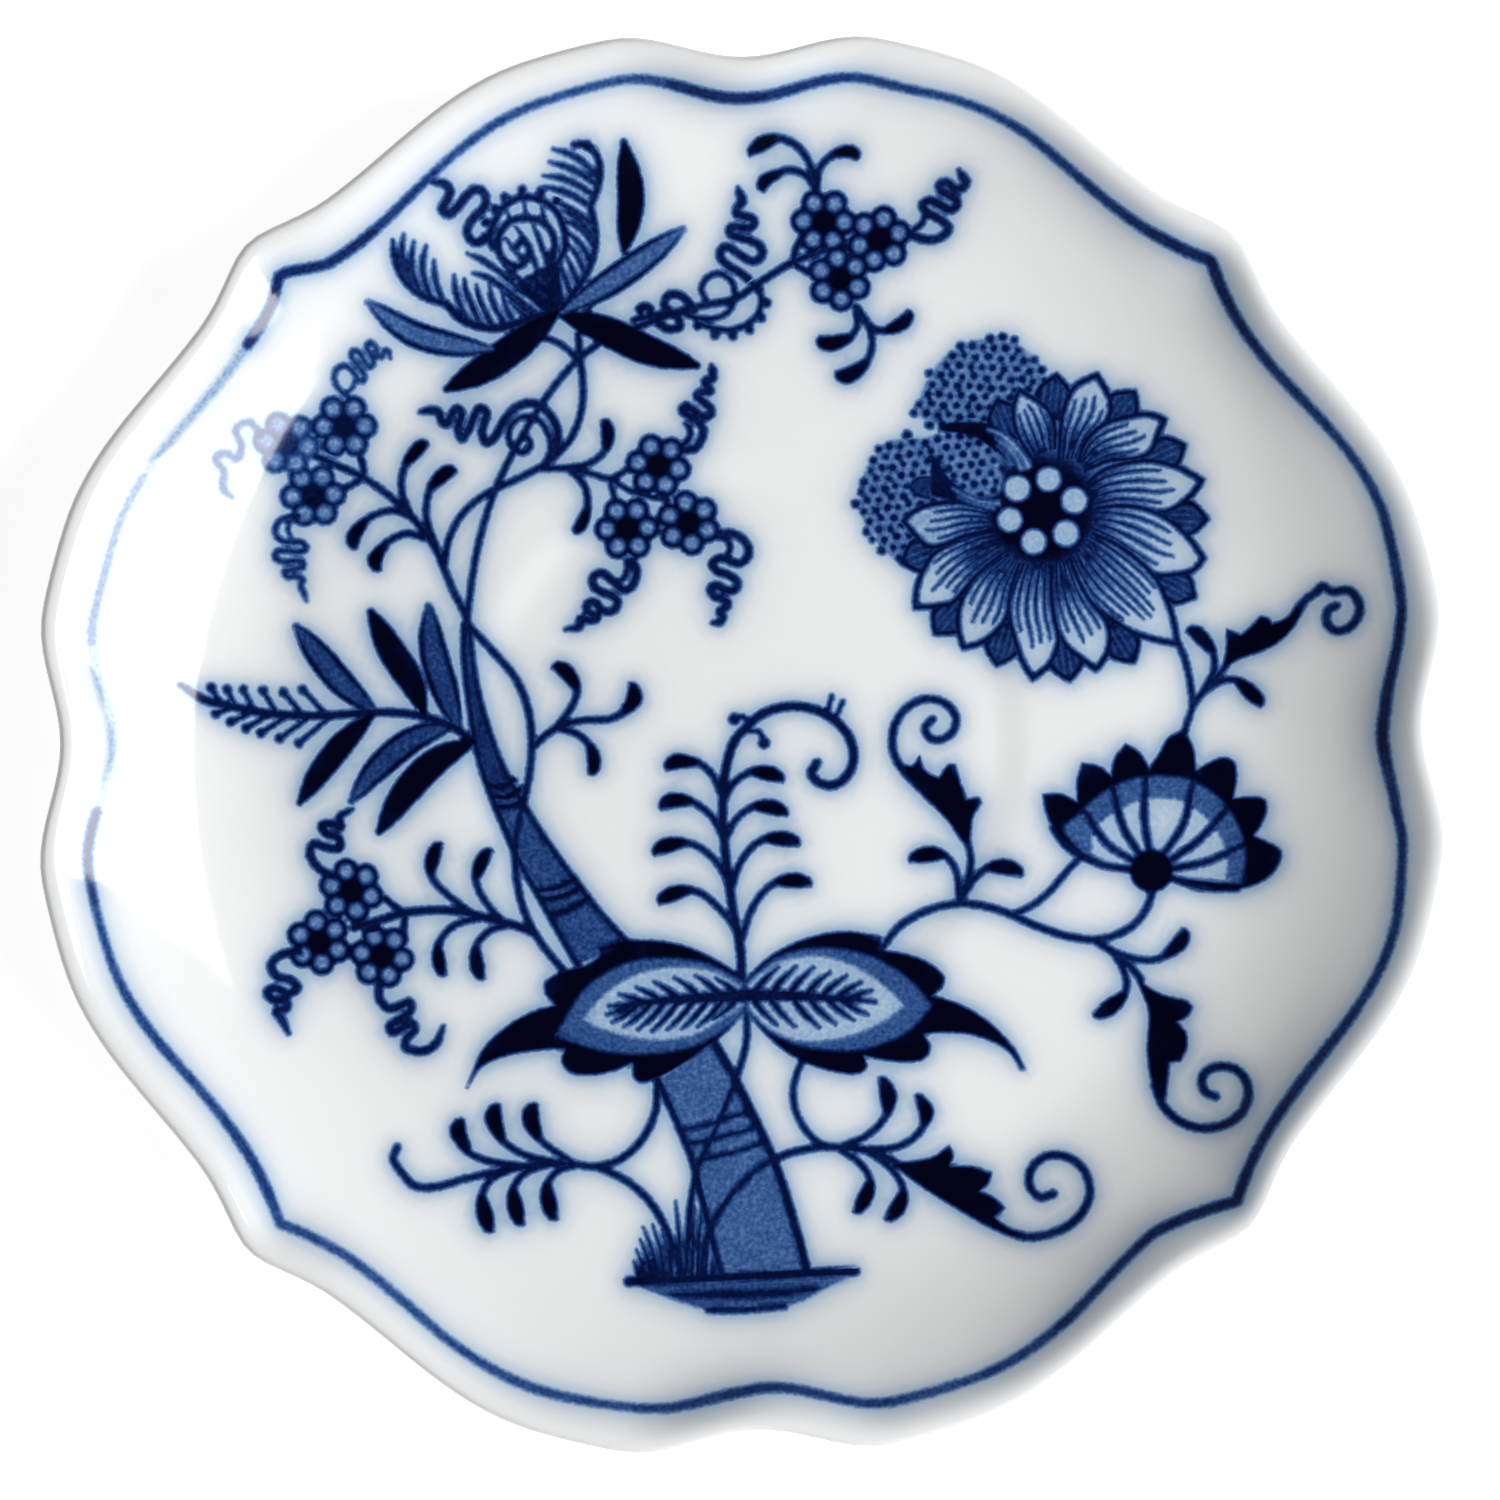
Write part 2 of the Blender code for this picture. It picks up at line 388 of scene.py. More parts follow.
def comma(width, *points):
    """A thin stalk with a leaf: round on its outer side, straight on its inner, hooked at the tip."""
    path = curve(points)
    line(points[:-1], COMMA_STALK, end=0.6, tone=LINE)
    from_tip = (1 - travelled(path)) * np.hypot(*np.diff(path, axis=0).T).sum() / (COMMA_LENGTH * width)
    path, from_tip = path[from_tip < 1], from_tip[from_tip < 1]
    (ax, ay), (bx, by), (cx, cy) = path[0], path[len(path) // 2], path[-1]
    outward = sideways(path) * -np.sign((bx - ax) * (cy - by) - (by - ay) * (cx - bx))
    bulge = np.interp(from_tip, *zip(*COMMA_BULGE))
    outer = path + outward * bulge[:, None]
    middle = np.argmin(abs(from_tip - COMMA_MIDDLE))
    root = path[0] - outward[0] * COMMA_STALK / 2
    inner = curve([outer[-1], outer[middle] - outward[middle] * width, root])
    painting.append(Patch(np.vstack([outer, inner[1:]]), DARK, False))


def commas(*leaves):
    """Comma leaves, each given as its width and its points from root to tip."""
    for leaf in leaves:
        comma(*leaf)


# A pointed leaf: shares of its full width at shares of its length, and the width of its dark edge
LANCE = ((0, 0.2), (0.06, 0.4), (0.2, 0.78), (0.38, 1), (0.6, 1), (0.78, 0.82), (0.92, 0.48), (1, 0.18))
LANCE_EDGE = 0.575


def lance(*points, width, filling=None):
    """A pointed leaf, dark all over or outlined round a lighter filling."""
    path = curve(points)
    swell = eased(np.interp(travelled(path), *zip(*LANCE)))
    painting.append(Ribbon(np.column_stack([path, swell * width]), DARK, False))
    if filling is not None:
        inner_width = width - 2 * LANCE_EDGE
        painting.append(Ribbon(np.column_stack([path, swell * inner_width]), filling, True))


def patch(*curves, tone=DARK, lifts=False):
    """A filled shape bounded by smooth curves that meet in corners."""
    parts = [curve(points)[:-1] for points in curves]
    painting.append(Patch(np.vstack(parts), tone, lifts))


def joined(*lists):
    """Curves for patch: each list goes on from the last point of the one before, and they close."""
    starts = [lists[-1][-1], *[points[-1] for points in lists[:-1]]]
    return [[start, *points] for start, points in zip(starts, lists)]


def floret(x, y, first, tone=0.9):
    """A ring of round petals with pale middles, round a dark eye; first is a petal's direction."""
    petals, ring_radius, petal_radius, middle_radius, eye_radius = 6, 2.2, 1.38, 0.77, 1.35
    middle_tone, eye_tone = 0.34, tone + 0.07
    turns = [radians(first + 360 * i / petals) for i in range(petals)]
    places = [(x + ring_radius * cos(turn), y + ring_radius * sin(turn)) for turn in turns]
    for place in places:
        dot(*place, petal_radius, tone)
    for place in places:
        dot(*place, middle_radius, middle_tone, lifts=True)
    dot(x, y, eye_radius, eye_tone)


def florets(*flowers):
    """Florets, each given as its place, a petal's direction and perhaps its tone."""
    for flower in flowers:
        floret(*flower)


def beads(*centres, radius=0.48):
    for x, y in centres:
        dot(x, y, radius)


# How far the rim line strays outwards, at angles round the saucer
RIM_LINE_STRAY = (
    (-15, 0.3), (-6, -1.1), (3, 0.1), (10, -0.4), (20, 0.4), (35, 0.2), (50, 0.6), (65, 0.6), (76, -0.1),
    (90, 0.5), (100, 0.25), (120, -0.15), (131, -0.6), (134, 0.3), (137, -0.1), (142, 0.15), (165, -0.4),
    (195, 0.1), (212, 0.05), (225, 0.55), (243, 0.85), (255, 0.3), (262, -0.2), (270, 0.5), (278, 0.05),
    (290, 0.1), (300, 0.2), (310, -0.3), (317, 0.9), (325, 0.9), (332, 0.65), (345, 0.3), (354, -1.1),
    (363, 0.1), (370, -0.4), (380, 0.4))

# How strong the rim line is at angles round the saucer, faintest at the left, where from about 145° to 183°
# it is painted pale as a painted highlight of the window's glare on it
RIM_LINE_TONES_AND_PAINTED_HIGHLIGHT = (
    (4, 0.85), (12, 0.83), (20, 0.73), (27, 0.72), (34, 0.8), (44, 0.84), (56, 0.79), (64, 0.73), (75, 0.7),
    (86, 0.76), (94, 0.81), (101, 0.63), (109, 0.66), (117, 0.69), (125, 0.78), (132, 0.83), (138, 0.84),
    (145, 0.27), (152, 0.24), (160, 0.42), (167, 0.46), (175, 0.24), (183, 0.23), (190, 0.8), (199, 0.64),
    (207, 0.72), (214, 0.66), (222, 0.75), (229, 0.62), (237, 0.65), (259, 0.65), (267, 0.73), (274, 0.76),
    (289, 0.63), (297, 0.73), (305, 0.82), (320, 0.85), (334, 0.78), (342, 0.72), (350, 0.75), (364, 0.85))


def rim_line():
    """The band of colour round the lip, drawn in strokes that press harder at points and notches, and painted
    pale at the left as a painted highlight.
    """
    crest_radius, strokes, samples = 71.9, 48, 30
    stroke_start, stroke_middle, stroke_end = 0.8, 1.3, 1.82
    shift_right, lag_share, lobe_share = 0.4, 0.4, 1.05
    line_width, press, press_right, waver, quiver = 0.8, 0.16, 0.06, 0.05, 0.04
    for i in range(strokes):
        turns = np.linspace(i + stroke_start, i + stroke_end, samples) * 2 * pi / strokes
        lag = np.radians(lag_share * off_square(turns))
        radius = crest_radius + shift_right * np.cos(turns)
        radius = radius - lobe_share * lobe_inset(turns - lag, point_round=0.0)
        radius += np.interp(np.degrees(turns), *zip(*RIM_LINE_STRAY))
        width = line_width + press * np.cos(4 * turns) ** 8
        width += press_right * np.maximum(np.cos(turns), 0)
        width += waver * np.sin(9 * turns)
        width += quiver * np.sin(23 * turns + 1)
        # Each stroke's strength, pale at the left as a painted highlight of the window's glare
        tone = np.interp(360 * (i + stroke_middle) / strokes, *zip(*RIM_LINE_TONES_AND_PAINTED_HIGHLIGHT))
        path = np.column_stack([radius * np.cos(turns), radius * np.sin(turns), width])
        painting.append(Ribbon(path, tone, False))


def bud_leaves():
    """Five pointed leaves round the bud, two of them with a lighter middle."""
    lance((-12.9, 64.8), (-12.4, 61.5), (-12.2, 59), (-12.5, 56.5), (-13, 53.6), width=2.8)
    lance((-20, 46.8), (-15.5, 45.2), (-10.5, 42.9), (-5.1, 41.2), width=3.3)
    lance((-20.3, 47), (-23, 44.7), (-27.5, 41.3), (-32.3, 38.6), width=3.3)
    lance((-19.8, 47), (-15, 49.9), (-10.5, 53), (-6.6, 55.9), width=2.9, filling=MID)
    lance((-27.4, 43), (-31, 43.3), (-36, 44.6), (-40.6, 47.7), width=2.8, filling=MID)


def bud_right_petals():
    """Two hatched petals that close round the heart, the upper one first."""
    line([(-18.2, 64.5), (-16.8, 64.6), (-15.9, 63.6), (-15.5, 61.9), (-15.8, 60.1), (-16.6, 58.3)], 0.75)
    patch(*joined([(-18, 64.6), (-16.7, 64.8)], [(-15.9, 63.5)], [(-17, 64)]))
    hairs([
        [(-20.5, 64), (-18.9, 63.6), (-17.5, 62.9), (-16.1, 61.6)],
        [(-20.9, 62.7), (-19.2, 62.3), (-17.6, 61.6), (-16, 60.6)],
        [(-21.6, 61.3), (-19.6, 61.1), (-17.9, 60.4), (-16.4, 59.5)],
        [(-21.5, 60.2), (-20, 59.9), (-18.4, 59.3), (-16.8, 58.4)],
        [(-20.3, 58.7), (-19.1, 58.1), (-17.7, 57.3), (-16.6, 56.5)],
    ], 0.72)
    line([(-16.6, 58.3), (-16.2, 56.3), (-16.1, 54.5), (-16.4, 52.7), (-17.1, 51.1), (-18.2, 49.4),
          (-19.8, 47.4)], 0.8)
    hairs([
        [(-19.7, 57.8), (-18.3, 57.1), (-17.2, 56.2), (-16.4, 55.2)],
        [(-19.5, 56.8), (-18, 56.1), (-16.9, 55.1), (-16.2, 53.9)],
        [(-19.3, 55.7), (-18.1, 54.7), (-17.2, 53.5), (-16.7, 52.3)],
        [(-19.2, 54.5), (-18, 52.9), (-17.3, 51.3)], [(-19.4, 53.2), (-18.6, 51.5), (-18, 50)],
        [(-20, 52.3), (-19.4, 50.7), (-18.9, 49.1)], [(-20.4, 50.5), (-20.1, 49.3), (-19.6, 48.1)],
    ], 0.68)


def bud_heart():
    """The beaded hood, the spiral under it and the dark cup that everything springs from."""
    line([(-27.2, 53.8), (-27.5, 55), (-27, 56.3), (-26.4, 57.5), (-25, 58.7), (-23.4, 59.1), (-21.9, 58.8),
          (-20.6, 58), (-19.8, 56.8), (-19.4, 55.4), (-19.4, 53.9), (-20, 52.6), (-21, 51.6)],
         0.76, end=1.4)
    line([(-24.4, 54.2), (-24, 54.5), (-23.3, 53.9), (-23.5, 52.7), (-24.3, 51.9), (-25.5, 52.1),
          (-26.4, 53), (-26.6, 54.3), (-26.3, 55.5), (-25.2, 56.6), (-23.6, 56.9), (-21.9, 56.6),
          (-20.8, 55.5), (-20.5, 54), (-21.1, 52.3)], 0.78, end=1.6)
    hairs([
        [(-25.8, 54.8), (-24.9, 53.6), (-24, 52.6)],
        [(-24.7, 56), (-23.8, 54.8), (-23.1, 53.4), (-22.4, 51.6)],
        [(-22.9, 56.4), (-22.2, 54.8), (-21.4, 52.6)], [(-25.6, 57.6), (-25.2, 56.7)],
        [(-23.7, 58.6), (-23.6, 57)], [(-21.9, 58.4), (-21.6, 56.8)], [(-26.9, 56), (-26.3, 55.5)],
    ], 0.6)
    beads((-25.8, 59), (-23.9, 59.8), (-21.9, 59.7), (-20.2, 58.8), (-26.9, 57.8), (-27.9, 56.4),
          (-28, 54.9))
    patch(*joined([(-22.8, 51.2), (-21.4, 52), (-20.3, 52.9)],
                  [(-19.9, 51.3), (-19.9, 49.4), (-19.6, 47.8)], [(-20.6, 46.9), (-21.8, 46.9)],
                  [(-23, 48.1), (-24.2, 49.2), (-24.4, 50.4)]), tone=0.87)
    for curl in (((-23.6, 50.3), (-22.9, 50.1), (-22.9, 49.5)),
                 ((-22.2, 50.6), (-21.6, 50.1), (-21.1, 50.4)), ((-22.2, 49.1), (-21.6, 48.6))):
        line(curl, 0.24, tone=0.72, lifts=True)


def bud_left_petals():
    """Hatched petals that open towards the rim, and the tendril over them."""
    line([(-37.8, 54.2), (-37.7, 52.7), (-37.2, 51), (-36.4, 49.8), (-35.3, 48.8), (-34, 48.2),
          (-32.3, 47.8)], 0.75, start=0.5)
    line([(-32.3, 47.8), (-31.6, 47), (-30.8, 46.2), (-29.2, 45.5), (-27.5, 45.2), (-25.8, 45.4),
          (-24.3, 45.9), (-22.2, 46.6), (-20.3, 47.3)], 0.9)
    hairs([
        [(-36.6, 54.9), (-36.9, 53.5), (-36.6, 51.4), (-35.9, 49.8)],
        [(-35.6, 54.2), (-35.9, 52.5), (-35.8, 50.8), (-35.1, 49)],
        [(-34.3, 53.8), (-34.7, 52.4), (-34.7, 50.8), (-34, 48.5)],
        [(-33.5, 52.3), (-33.5, 50.8), (-33.2, 49.5), (-32.6, 48)],
        [(-31.4, 50.8), (-31.3, 49.3), (-30.8, 47.7), (-30, 46)],
        [(-30.3, 50.4), (-30.2, 49.3), (-29.6, 47.8), (-28.8, 45.9)],
        [(-29, 49.8), (-28.8, 48.6), (-28.2, 47.1), (-27.4, 45.6)],
        [(-27.6, 49.8), (-27.4, 48.4), (-26.8, 47), (-25.9, 45.6)],
        [(-26.2, 48.9), (-25.8, 47.4), (-25.1, 46)], [(-25.5, 48.2), (-24.4, 47.1), (-23.4, 46.3)],
        [(-29.9, 53.1), (-28.4, 52.5), (-26.7, 51.4), (-25.5, 50.4), (-24, 49)],
        [(-29.4, 51.1), (-28, 50.7), (-26.6, 49.9), (-25.2, 48.9), (-23.7, 47.7), (-22.3, 46.7)],
        [(-26.6, 52.7), (-25.5, 51.5), (-24.2, 50.2)], [(-26.8, 49.8), (-25, 48.2), (-22.8, 46.6)],
    ], 0.7)
    tendril((-28, 54.7), (-28.8, 54.3), (-29.6, 54.6), (-29.9, 55.5), (-29.3, 56.7), (-28.2, 57.7),
            (-27.8, 58.6), (-28.1, 59.5), (-29, 59.7), (-30, 58.9), (-31, 57.7), (-31.9, 57.1),
            (-32.5, 57.6), (-31.9, 58.6), (-31.6, 59.6), (-32.3, 60.2), (-33.3, 60.2))


def bud():
    """The half-open flower at the upper left."""
    for part in (bud_leaves, bud_right_petals, bud_heart, bud_left_petals):
        part()


def top_spray():
    """Three florets at the top, with comma leaves and the vine that brings them there."""
    line([(-12.3, 45.1), (-10, 46), (-7, 47.1), (-4, 47.8), (-1, 48.4), (2, 50.4), (5.4, 52.4),
          (9.5, 53.8), (12.4, 54.2)], 0.8)
    line([(-12, 46.1), (-9.5, 46.7), (-7, 47), (-5.3, 46.4), (-3.2, 46.3), (-1.6, 47.1), (-1, 48.6),
          (-1.3, 50.3), (-2.7, 51.2), (-4.1, 50.6), (-4.6, 49.4), (-4.2, 48.5)], 0.66)
    tendril((-5.3, 47.3), (-6.9, 48.8), (-8.2, 48.8), (-8.6, 47.7), (-7.2, 46.4), (-7, 45.4),
            (-8.4, 45.2), (-9.8, 46.4), (-10.4, 47.5), (-11.3, 47.4), (-11.1, 46.5))
    line([(0.9, 50.1), (1.9, 48.7), (1.7, 47.1), (0.6, 45.8), (-1.2, 45.1), (-3.1, 45.2), (-5, 45.8)], 0.66)
    beads((1.7, 49.4), (2.5, 48), (1.9, 46.4), (0.6, 45.1), (-1.2, 44.4), (-3.1, 44.5), (-5, 45.5))
    line([(5.4, 52.4), (5.7, 53.8), (6.4, 55.2)])
    line([(5.4, 52.4), (6.8, 51.4), (8, 51)])
    florets((8.7, 56.7, 118), (14.7, 54.8, 137), (10.4, 50.6, 96))
    commas(
        (1.5, (7.9, 60), (7.3, 62.4), (5.8, 64.5), (3.8, 65.3), (1.9, 64.9), (0.7, 63.4)),
        (1.3, (7.9, 60), (6.8, 61.5), (4.9, 62.1), (3.4, 61.6), (2.2, 60.9), (2.3, 59.8)),
        (1.2, (7.9, 60), (8.2, 62.2), (9.2, 63.3), (10.5, 63.9), (11.7, 63.8), (12.2, 63)),
        (1.6, (12.2, 47.6), (12.3, 45.3), (11.4, 44.1), (10.1, 43.5), (8.9, 43.5), (8.2, 44.4)),
        (1.7, (12.4, 47.4), (13.9, 44.6), (13.8, 42.5), (12.7, 40.7), (11.3, 39.9), (10, 40.6)),
        (1.5, (12.6, 47.2), (13.5, 45.8), (14.7, 45), (16.1, 45.1), (17.5, 45.8), (17.9, 47.3)),
    )
    tendril((0.5, 50.6), (-0.6, 51.4), (-1.8, 52.1), (-2.5, 53), (-2.3, 53.9), (-1.6, 54), (-0.7, 53.4),
            (0.2, 52.8), (1.2, 52.5), (2, 53.2), (1.8, 54.1), (0.8, 54.7), (-0.4, 55), (-1.4, 55.4),
            (-1.5, 56), (-0.7, 56.2), (0.4, 56), (1.1, 56.4), (1, 57), (0, 57.3), (-0.8, 57.6),
            (-0.6, 58.3), (-0.1, 58.9), (-0.4, 59.6), (-0.6, 60.2))
    tendril((18.2, 55.2), (19.4, 54.8), (20.6, 54.7), (21.8, 55.2), (22.2, 55.9), (21.6, 56.6),
            (20.6, 57.2), (19.6, 57.8), (19.4, 58.4), (20.2, 58.8), (21.2, 58.4), (22.3, 57.8), (23, 58.2),
            (23, 58.8), (22.2, 59.3), (21.3, 59.8), (21.2, 60.4), (22, 60.6), (22.8, 60), (23.6, 60),
            (24, 60.6), (23.6, 61.2), (23.2, 61.8),
            strand=((18.4, 55.7), (19.2, 56.3), (19.6, 57), (19.6, 57.8)))


def left_spray():
    """Three florets at the left, with comma leaves along their stalk; florets and tendrils painted paler as a
    painted highlight of the glare over them.
    """
    line([(-46.4, 31.2), (-44, 30.2), (-41.4, 29), (-38, 26.5), (-35.5, 24), (-33.6, 21.4), (-32.6, 19),
          (-31.6, 16.6), (-30.3, 14), (-29.9, 12.6)], 0.8)
    line([(-41.4, 29), (-42.6, 28.2), (-44.1, 27.6)])
    line([(-41.4, 29), (-41.4, 30.2), (-41.9, 31.7)])
    # Painted highlight: these florets, the leftmost most of all, are paler where the window's glare lies over
    # them
    florets((-43.4, 34.5, 122, 0.82), (-46.8, 27, 64, 0.82), (-49.5, 32.5, 113, 0.7))
    commas(
        (1.4, (-36.1, 24.6), (-37.2, 27.4), (-37.1, 29.6), (-36.4, 31.1), (-35.3, 32.3), (-34.2, 32.5)),
        (1.5, (-33.4, 21.2), (-34.5, 24.3), (-34.4, 27), (-33.6, 28.6), (-32.4, 29.6), (-31.2, 29.5)),
        (1.5, (-36.2, 24.7), (-38, 25.4), (-40, 25), (-41.6, 23.9), (-42.6, 22.5), (-42, 21.2)),
        (1.5, (-34.8, 22.4), (-36.5, 22.9), (-38.3, 22.3), (-39.6, 21.1), (-40.3, 20), (-39.4, 18.9)),
    )
    # Painted highlight: the tendrils here are paler where the window's glare lies over them
    tendril((-43.2, 37.8), (-44, 38.6), (-44.4, 39.6), (-44.1, 40.6), (-43.2, 41), (-42.4, 40.4),
            (-41.8, 39.5), (-41.3, 39.4), (-41.2, 40), (-41.8, 41), (-42.5, 42), (-42.3, 42.6),
            (-41.7, 42.4), (-41.1, 41.4), (-40.6, 40.9), (-40.2, 41.3), (-40.4, 42.2), (-40.9, 43),
            (-40.5, 43.5), (-39.9, 43), (-39.7, 42.2), (-39.3, 42), (-39, 42.7), (-38.6, 42.6),
            (-38.4, 41.9), strand=((-43.1, 38), (-42.4, 38.8), (-42.2, 39.8)), width=0.62, tone=0.74)
    tendril((-48.4, 24.8), (-49.6, 24.6), (-50.6, 24), (-50.9, 23), (-50.4, 22.2), (-49.2, 21.9),
            (-48.1, 21.9), (-47.6, 21.3), (-48.3, 20.9), (-49.6, 21), (-50.7, 20.9), (-50.9, 20.2),
            (-50.1, 19.8), (-48.8, 19.9), (-48, 19.8), (-48, 19.2), (-49, 19), (-49.9, 18.7), (-49.7, 18.2),
            (-48.7, 18.2), (-48, 17.9), (-48.2, 17.2), (-47.9, 16.5), (-47.6, 15.6),
            strand=((-48.6, 24.6), (-49.4, 24), (-49.5, 23.2), (-49.2, 22.4)), width=0.66, tone=0.78)
    tendril((-52.2, 33.3), (-53.4, 34.8), (-54.8, 34), (-54.3, 32.2), (-54.8, 30.8), (-56, 31.4),
            (-57, 30.8), (-56.2, 29.4), (-56.3, 27.6), (-55.4, 26.7), width=0.7, tone=0.6)


def middle_spray():
    """The crossing vines under the bud, their spiral, and three florets in the middle."""
    line([(-18, 44.6), (-17.8, 42), (-17.5, 39), (-17.7, 36.2), (-18.7, 33.5), (-20.4, 31.4), (-22.4, 30),
          (-25, 28.7), (-28.4, 27), (-30.8, 24.8), (-32.2, 22), (-32.6, 19.4)], 0.72)
    line([(-15.6, 43.7), (-17.6, 42.2), (-19.6, 40.2), (-22, 37), (-24.4, 33), (-26, 30), (-27.4, 26.8),
          (-28.7, 22.5), (-29.6, 18), (-30.1, 13.8), (-30.4, 11)], 0.72)
    line([(-22.6, 44.3), (-20.7, 43.9), (-19.1, 42.9), (-17.9, 41.5)], 0.66)
    line([(-16.6, 48), (-17.2, 46.4), (-17.9, 44.8)], 0.6)
    tendril((-21.4, 30.7), (-20.4, 32.3), (-20.3, 34.2), (-21.4, 36.2), (-23.1, 37.1), (-24.8, 36.6),
            (-26.1, 35.2), (-27.1, 33.4), (-28, 32.8), (-28.5, 33.9), (-28, 36.1), (-28.8, 36.5),
            (-30, 34.1), (-30.7, 33.2), (-31.1, 34.2), (-30.7, 36), (-31.2, 36.5), (-31.8, 35.8),
            (-32.3, 34.8), (-32.8, 35), (-33.2, 36.1), (-34.2, 36.3), (-35.2, 36.1))
    line([(-21.6, 30.6), (-21, 32), (-21.3, 33.8), (-22.4, 35.3), (-24, 35.6), (-25.3, 34.7), (-25.6, 33.2),
          (-24.8, 31.9), (-23.7, 31.8), (-23.2, 32.7), (-23.7, 33.5)], 0.66)
    line([(-22, 30), (-19.4, 30), (-16.8, 29.5), (-14.5, 28.9), (-12.8, 29.8), (-11.6, 30.2)], 0.7)
    line([(-14.5, 28.9), (-12.4, 27.6), (-10.4, 27), (-8.3, 26.6)], 0.66)
    line([(-14.5, 28.9), (-14.3, 27.6), (-13.9, 26.4)], 0.66)
    florets((-9.3, 30.3, 111), (-12.7, 23.5, 122), (-6, 24.1, 99))
    commas(
        (1.4, (-19.6, 30), (-16.9, 30.5), (-15.3, 31.7), (-14.7, 33), (-14.8, 34.3), (-15.6, 35.2)),
        (1.3, (-19, 29.9), (-17.5, 28.4), (-17, 26.7), (-17.2, 25), (-17.8, 23.8), (-18.8, 23.3)),
    )
    tendril((-6.5, 32), (-5.3, 32.2), (-4.6, 33.2), (-4.4, 34.2), (-4.9, 35), (-5.7, 35.6), (-6.7, 36.3),
            (-6.3, 36.8), (-5.4, 36.3), (-4.3, 35.6), (-3.6, 35.9), (-3.6, 36.5), (-4.2, 37.1),
            (-5.1, 37.9), (-4.6, 38.3), (-3.6, 38.4), (-4.1, 39.1), (-4.2, 39.5), (-3.4, 39.8),
            (-3.4, 40.6), (-3.5, 41.2),
            strand=((-6.6, 32.6), (-6, 33.2), (-5.8, 33.9), (-6, 34.6), (-6.4, 34.9)))
    tendril((-12.2, 20), (-11.7, 19), (-11.8, 18), (-12.4, 17), (-13.2, 16.8), (-13.9, 17.4), (-14.6, 18),
            (-15.4, 18.6), (-16.2, 18.4), (-16.5, 17.7), (-16.2, 17), (-15.3, 16.5), (-14.4, 16.2),
            (-13.8, 15.6), (-13.9, 14.9), (-14.6, 14.4), (-15.4, 14.6), (-16.2, 15.4), (-17, 15.3),
            (-17.1, 14.6), (-16.5, 14.1), (-16, 13.7), (-16.7, 13.5), (-17.8, 13.6), (-17.9, 12.8),
            (-19.4, 12.5), strand=((-12.7, 20), (-12.7, 19), (-13, 18.2), (-13.8, 17.6)))
    tendril((-2.8, 22.8), (-1.5, 23), (-0.2, 22.4), (0.5, 21.4), (0.4, 20.4), (-0.4, 19.7), (-1.4, 19.9),
            (-2.5, 20.3), (-3.4, 19.6), (-2.8, 18.8), (-1.6, 18.4), (-0.7, 17.6), (-1, 16.8), (-2, 16.8),
            (-3, 17.3), (-3.6, 16.9), (-3.3, 16.2), (-2.4, 15.8), (-1.7, 15.3), (-2.1, 14.8), (-2.6, 14.4),
            (-2.3, 13.8), (-2.6, 13.3), (-3.4, 13.2),
            strand=((-2.9, 22.6), (-1.9, 22.3), (-1.5, 21.6), (-1.6, 20.9), (-2, 20.3)))


def dotted_fruit(outline, rows_along):
    """A round fruit drawn as rows of dots on a thin wash."""
    wash, dot_tone, dot_radius, radius_spread = 0.4, 0.86, 0.45, 0.05
    spacing, row, stray, past_edge = 1.28, 1.09, 0.13, 0.3
    path = curve(outline, closed=True)
    ground = Patch(path, wash, True)
    painting.append(ground)
    along = np.array([cos(radians(rows_along)), sin(radians(rows_along))])
    across = np.array([-along[1], along[0]])
    middle, reach = path.mean(0), int(np.ptp(path, axis=0).max() / row) + 1
    for i in range(-reach, reach + 1):
        for j in range(-reach, reach + 1):
            place = middle + along * spacing * (j + i % 2 / 2) + across * row * i
            # Each dot strays and swells in its own way
            place = place + stray * np.array([sin(3.1 * i + 5.3 * j), sin(4.7 * i - 2.9 * j)])
            if ground.depth(place[None])[0] > -past_edge:
                dot(*place, dot_radius + radius_spread * sin(2.7 * i + 1.9 * j), dot_tone)


def edged(sides, width, tone):
    """Even lines along the sides of a petal or leaf."""
    for side in sides:
        painting.append(Ribbon(np.column_stack([side, np.full(len(side), width)]), tone, False))


def petal(side, tip, other_side, marks=4, wash=0.04):
    """A pale pointed petal whose dark shading lines run out from its base."""
    samples, longest, shorter_at_sides, shorter_by_turns, margin = 40, 30, 16, 2, 0.9
    mark_widths, mark_tone, edge_width, edge_tone = (0.52, 0.46, 0.22), 0.84, 0.67, 0.88
    left, right = curve([*side, tip]), curve([*other_side, tip])
    painting.append(Patch(np.vstack([left, right[::-1][1:]]), wash, True))
    spread = [resampled(edge, samples) for edge in (left, right)]
    for i in range(marks):
        share = (i + margin) / (marks - 1 + 2 * margin)
        middle = (1 - share) * spread[0] + share * spread[1]
        reach = int(longest - shorter_at_sides * abs(share - 0.5) - shorter_by_turns * (i % 2))
        width = np.interp(np.arange(reach), [0, reach // 2, reach - 1], mark_widths)
        painting.append(Ribbon(np.column_stack([middle[:reach], width]), mark_tone, False))
    edged((left, right), edge_width, edge_tone)


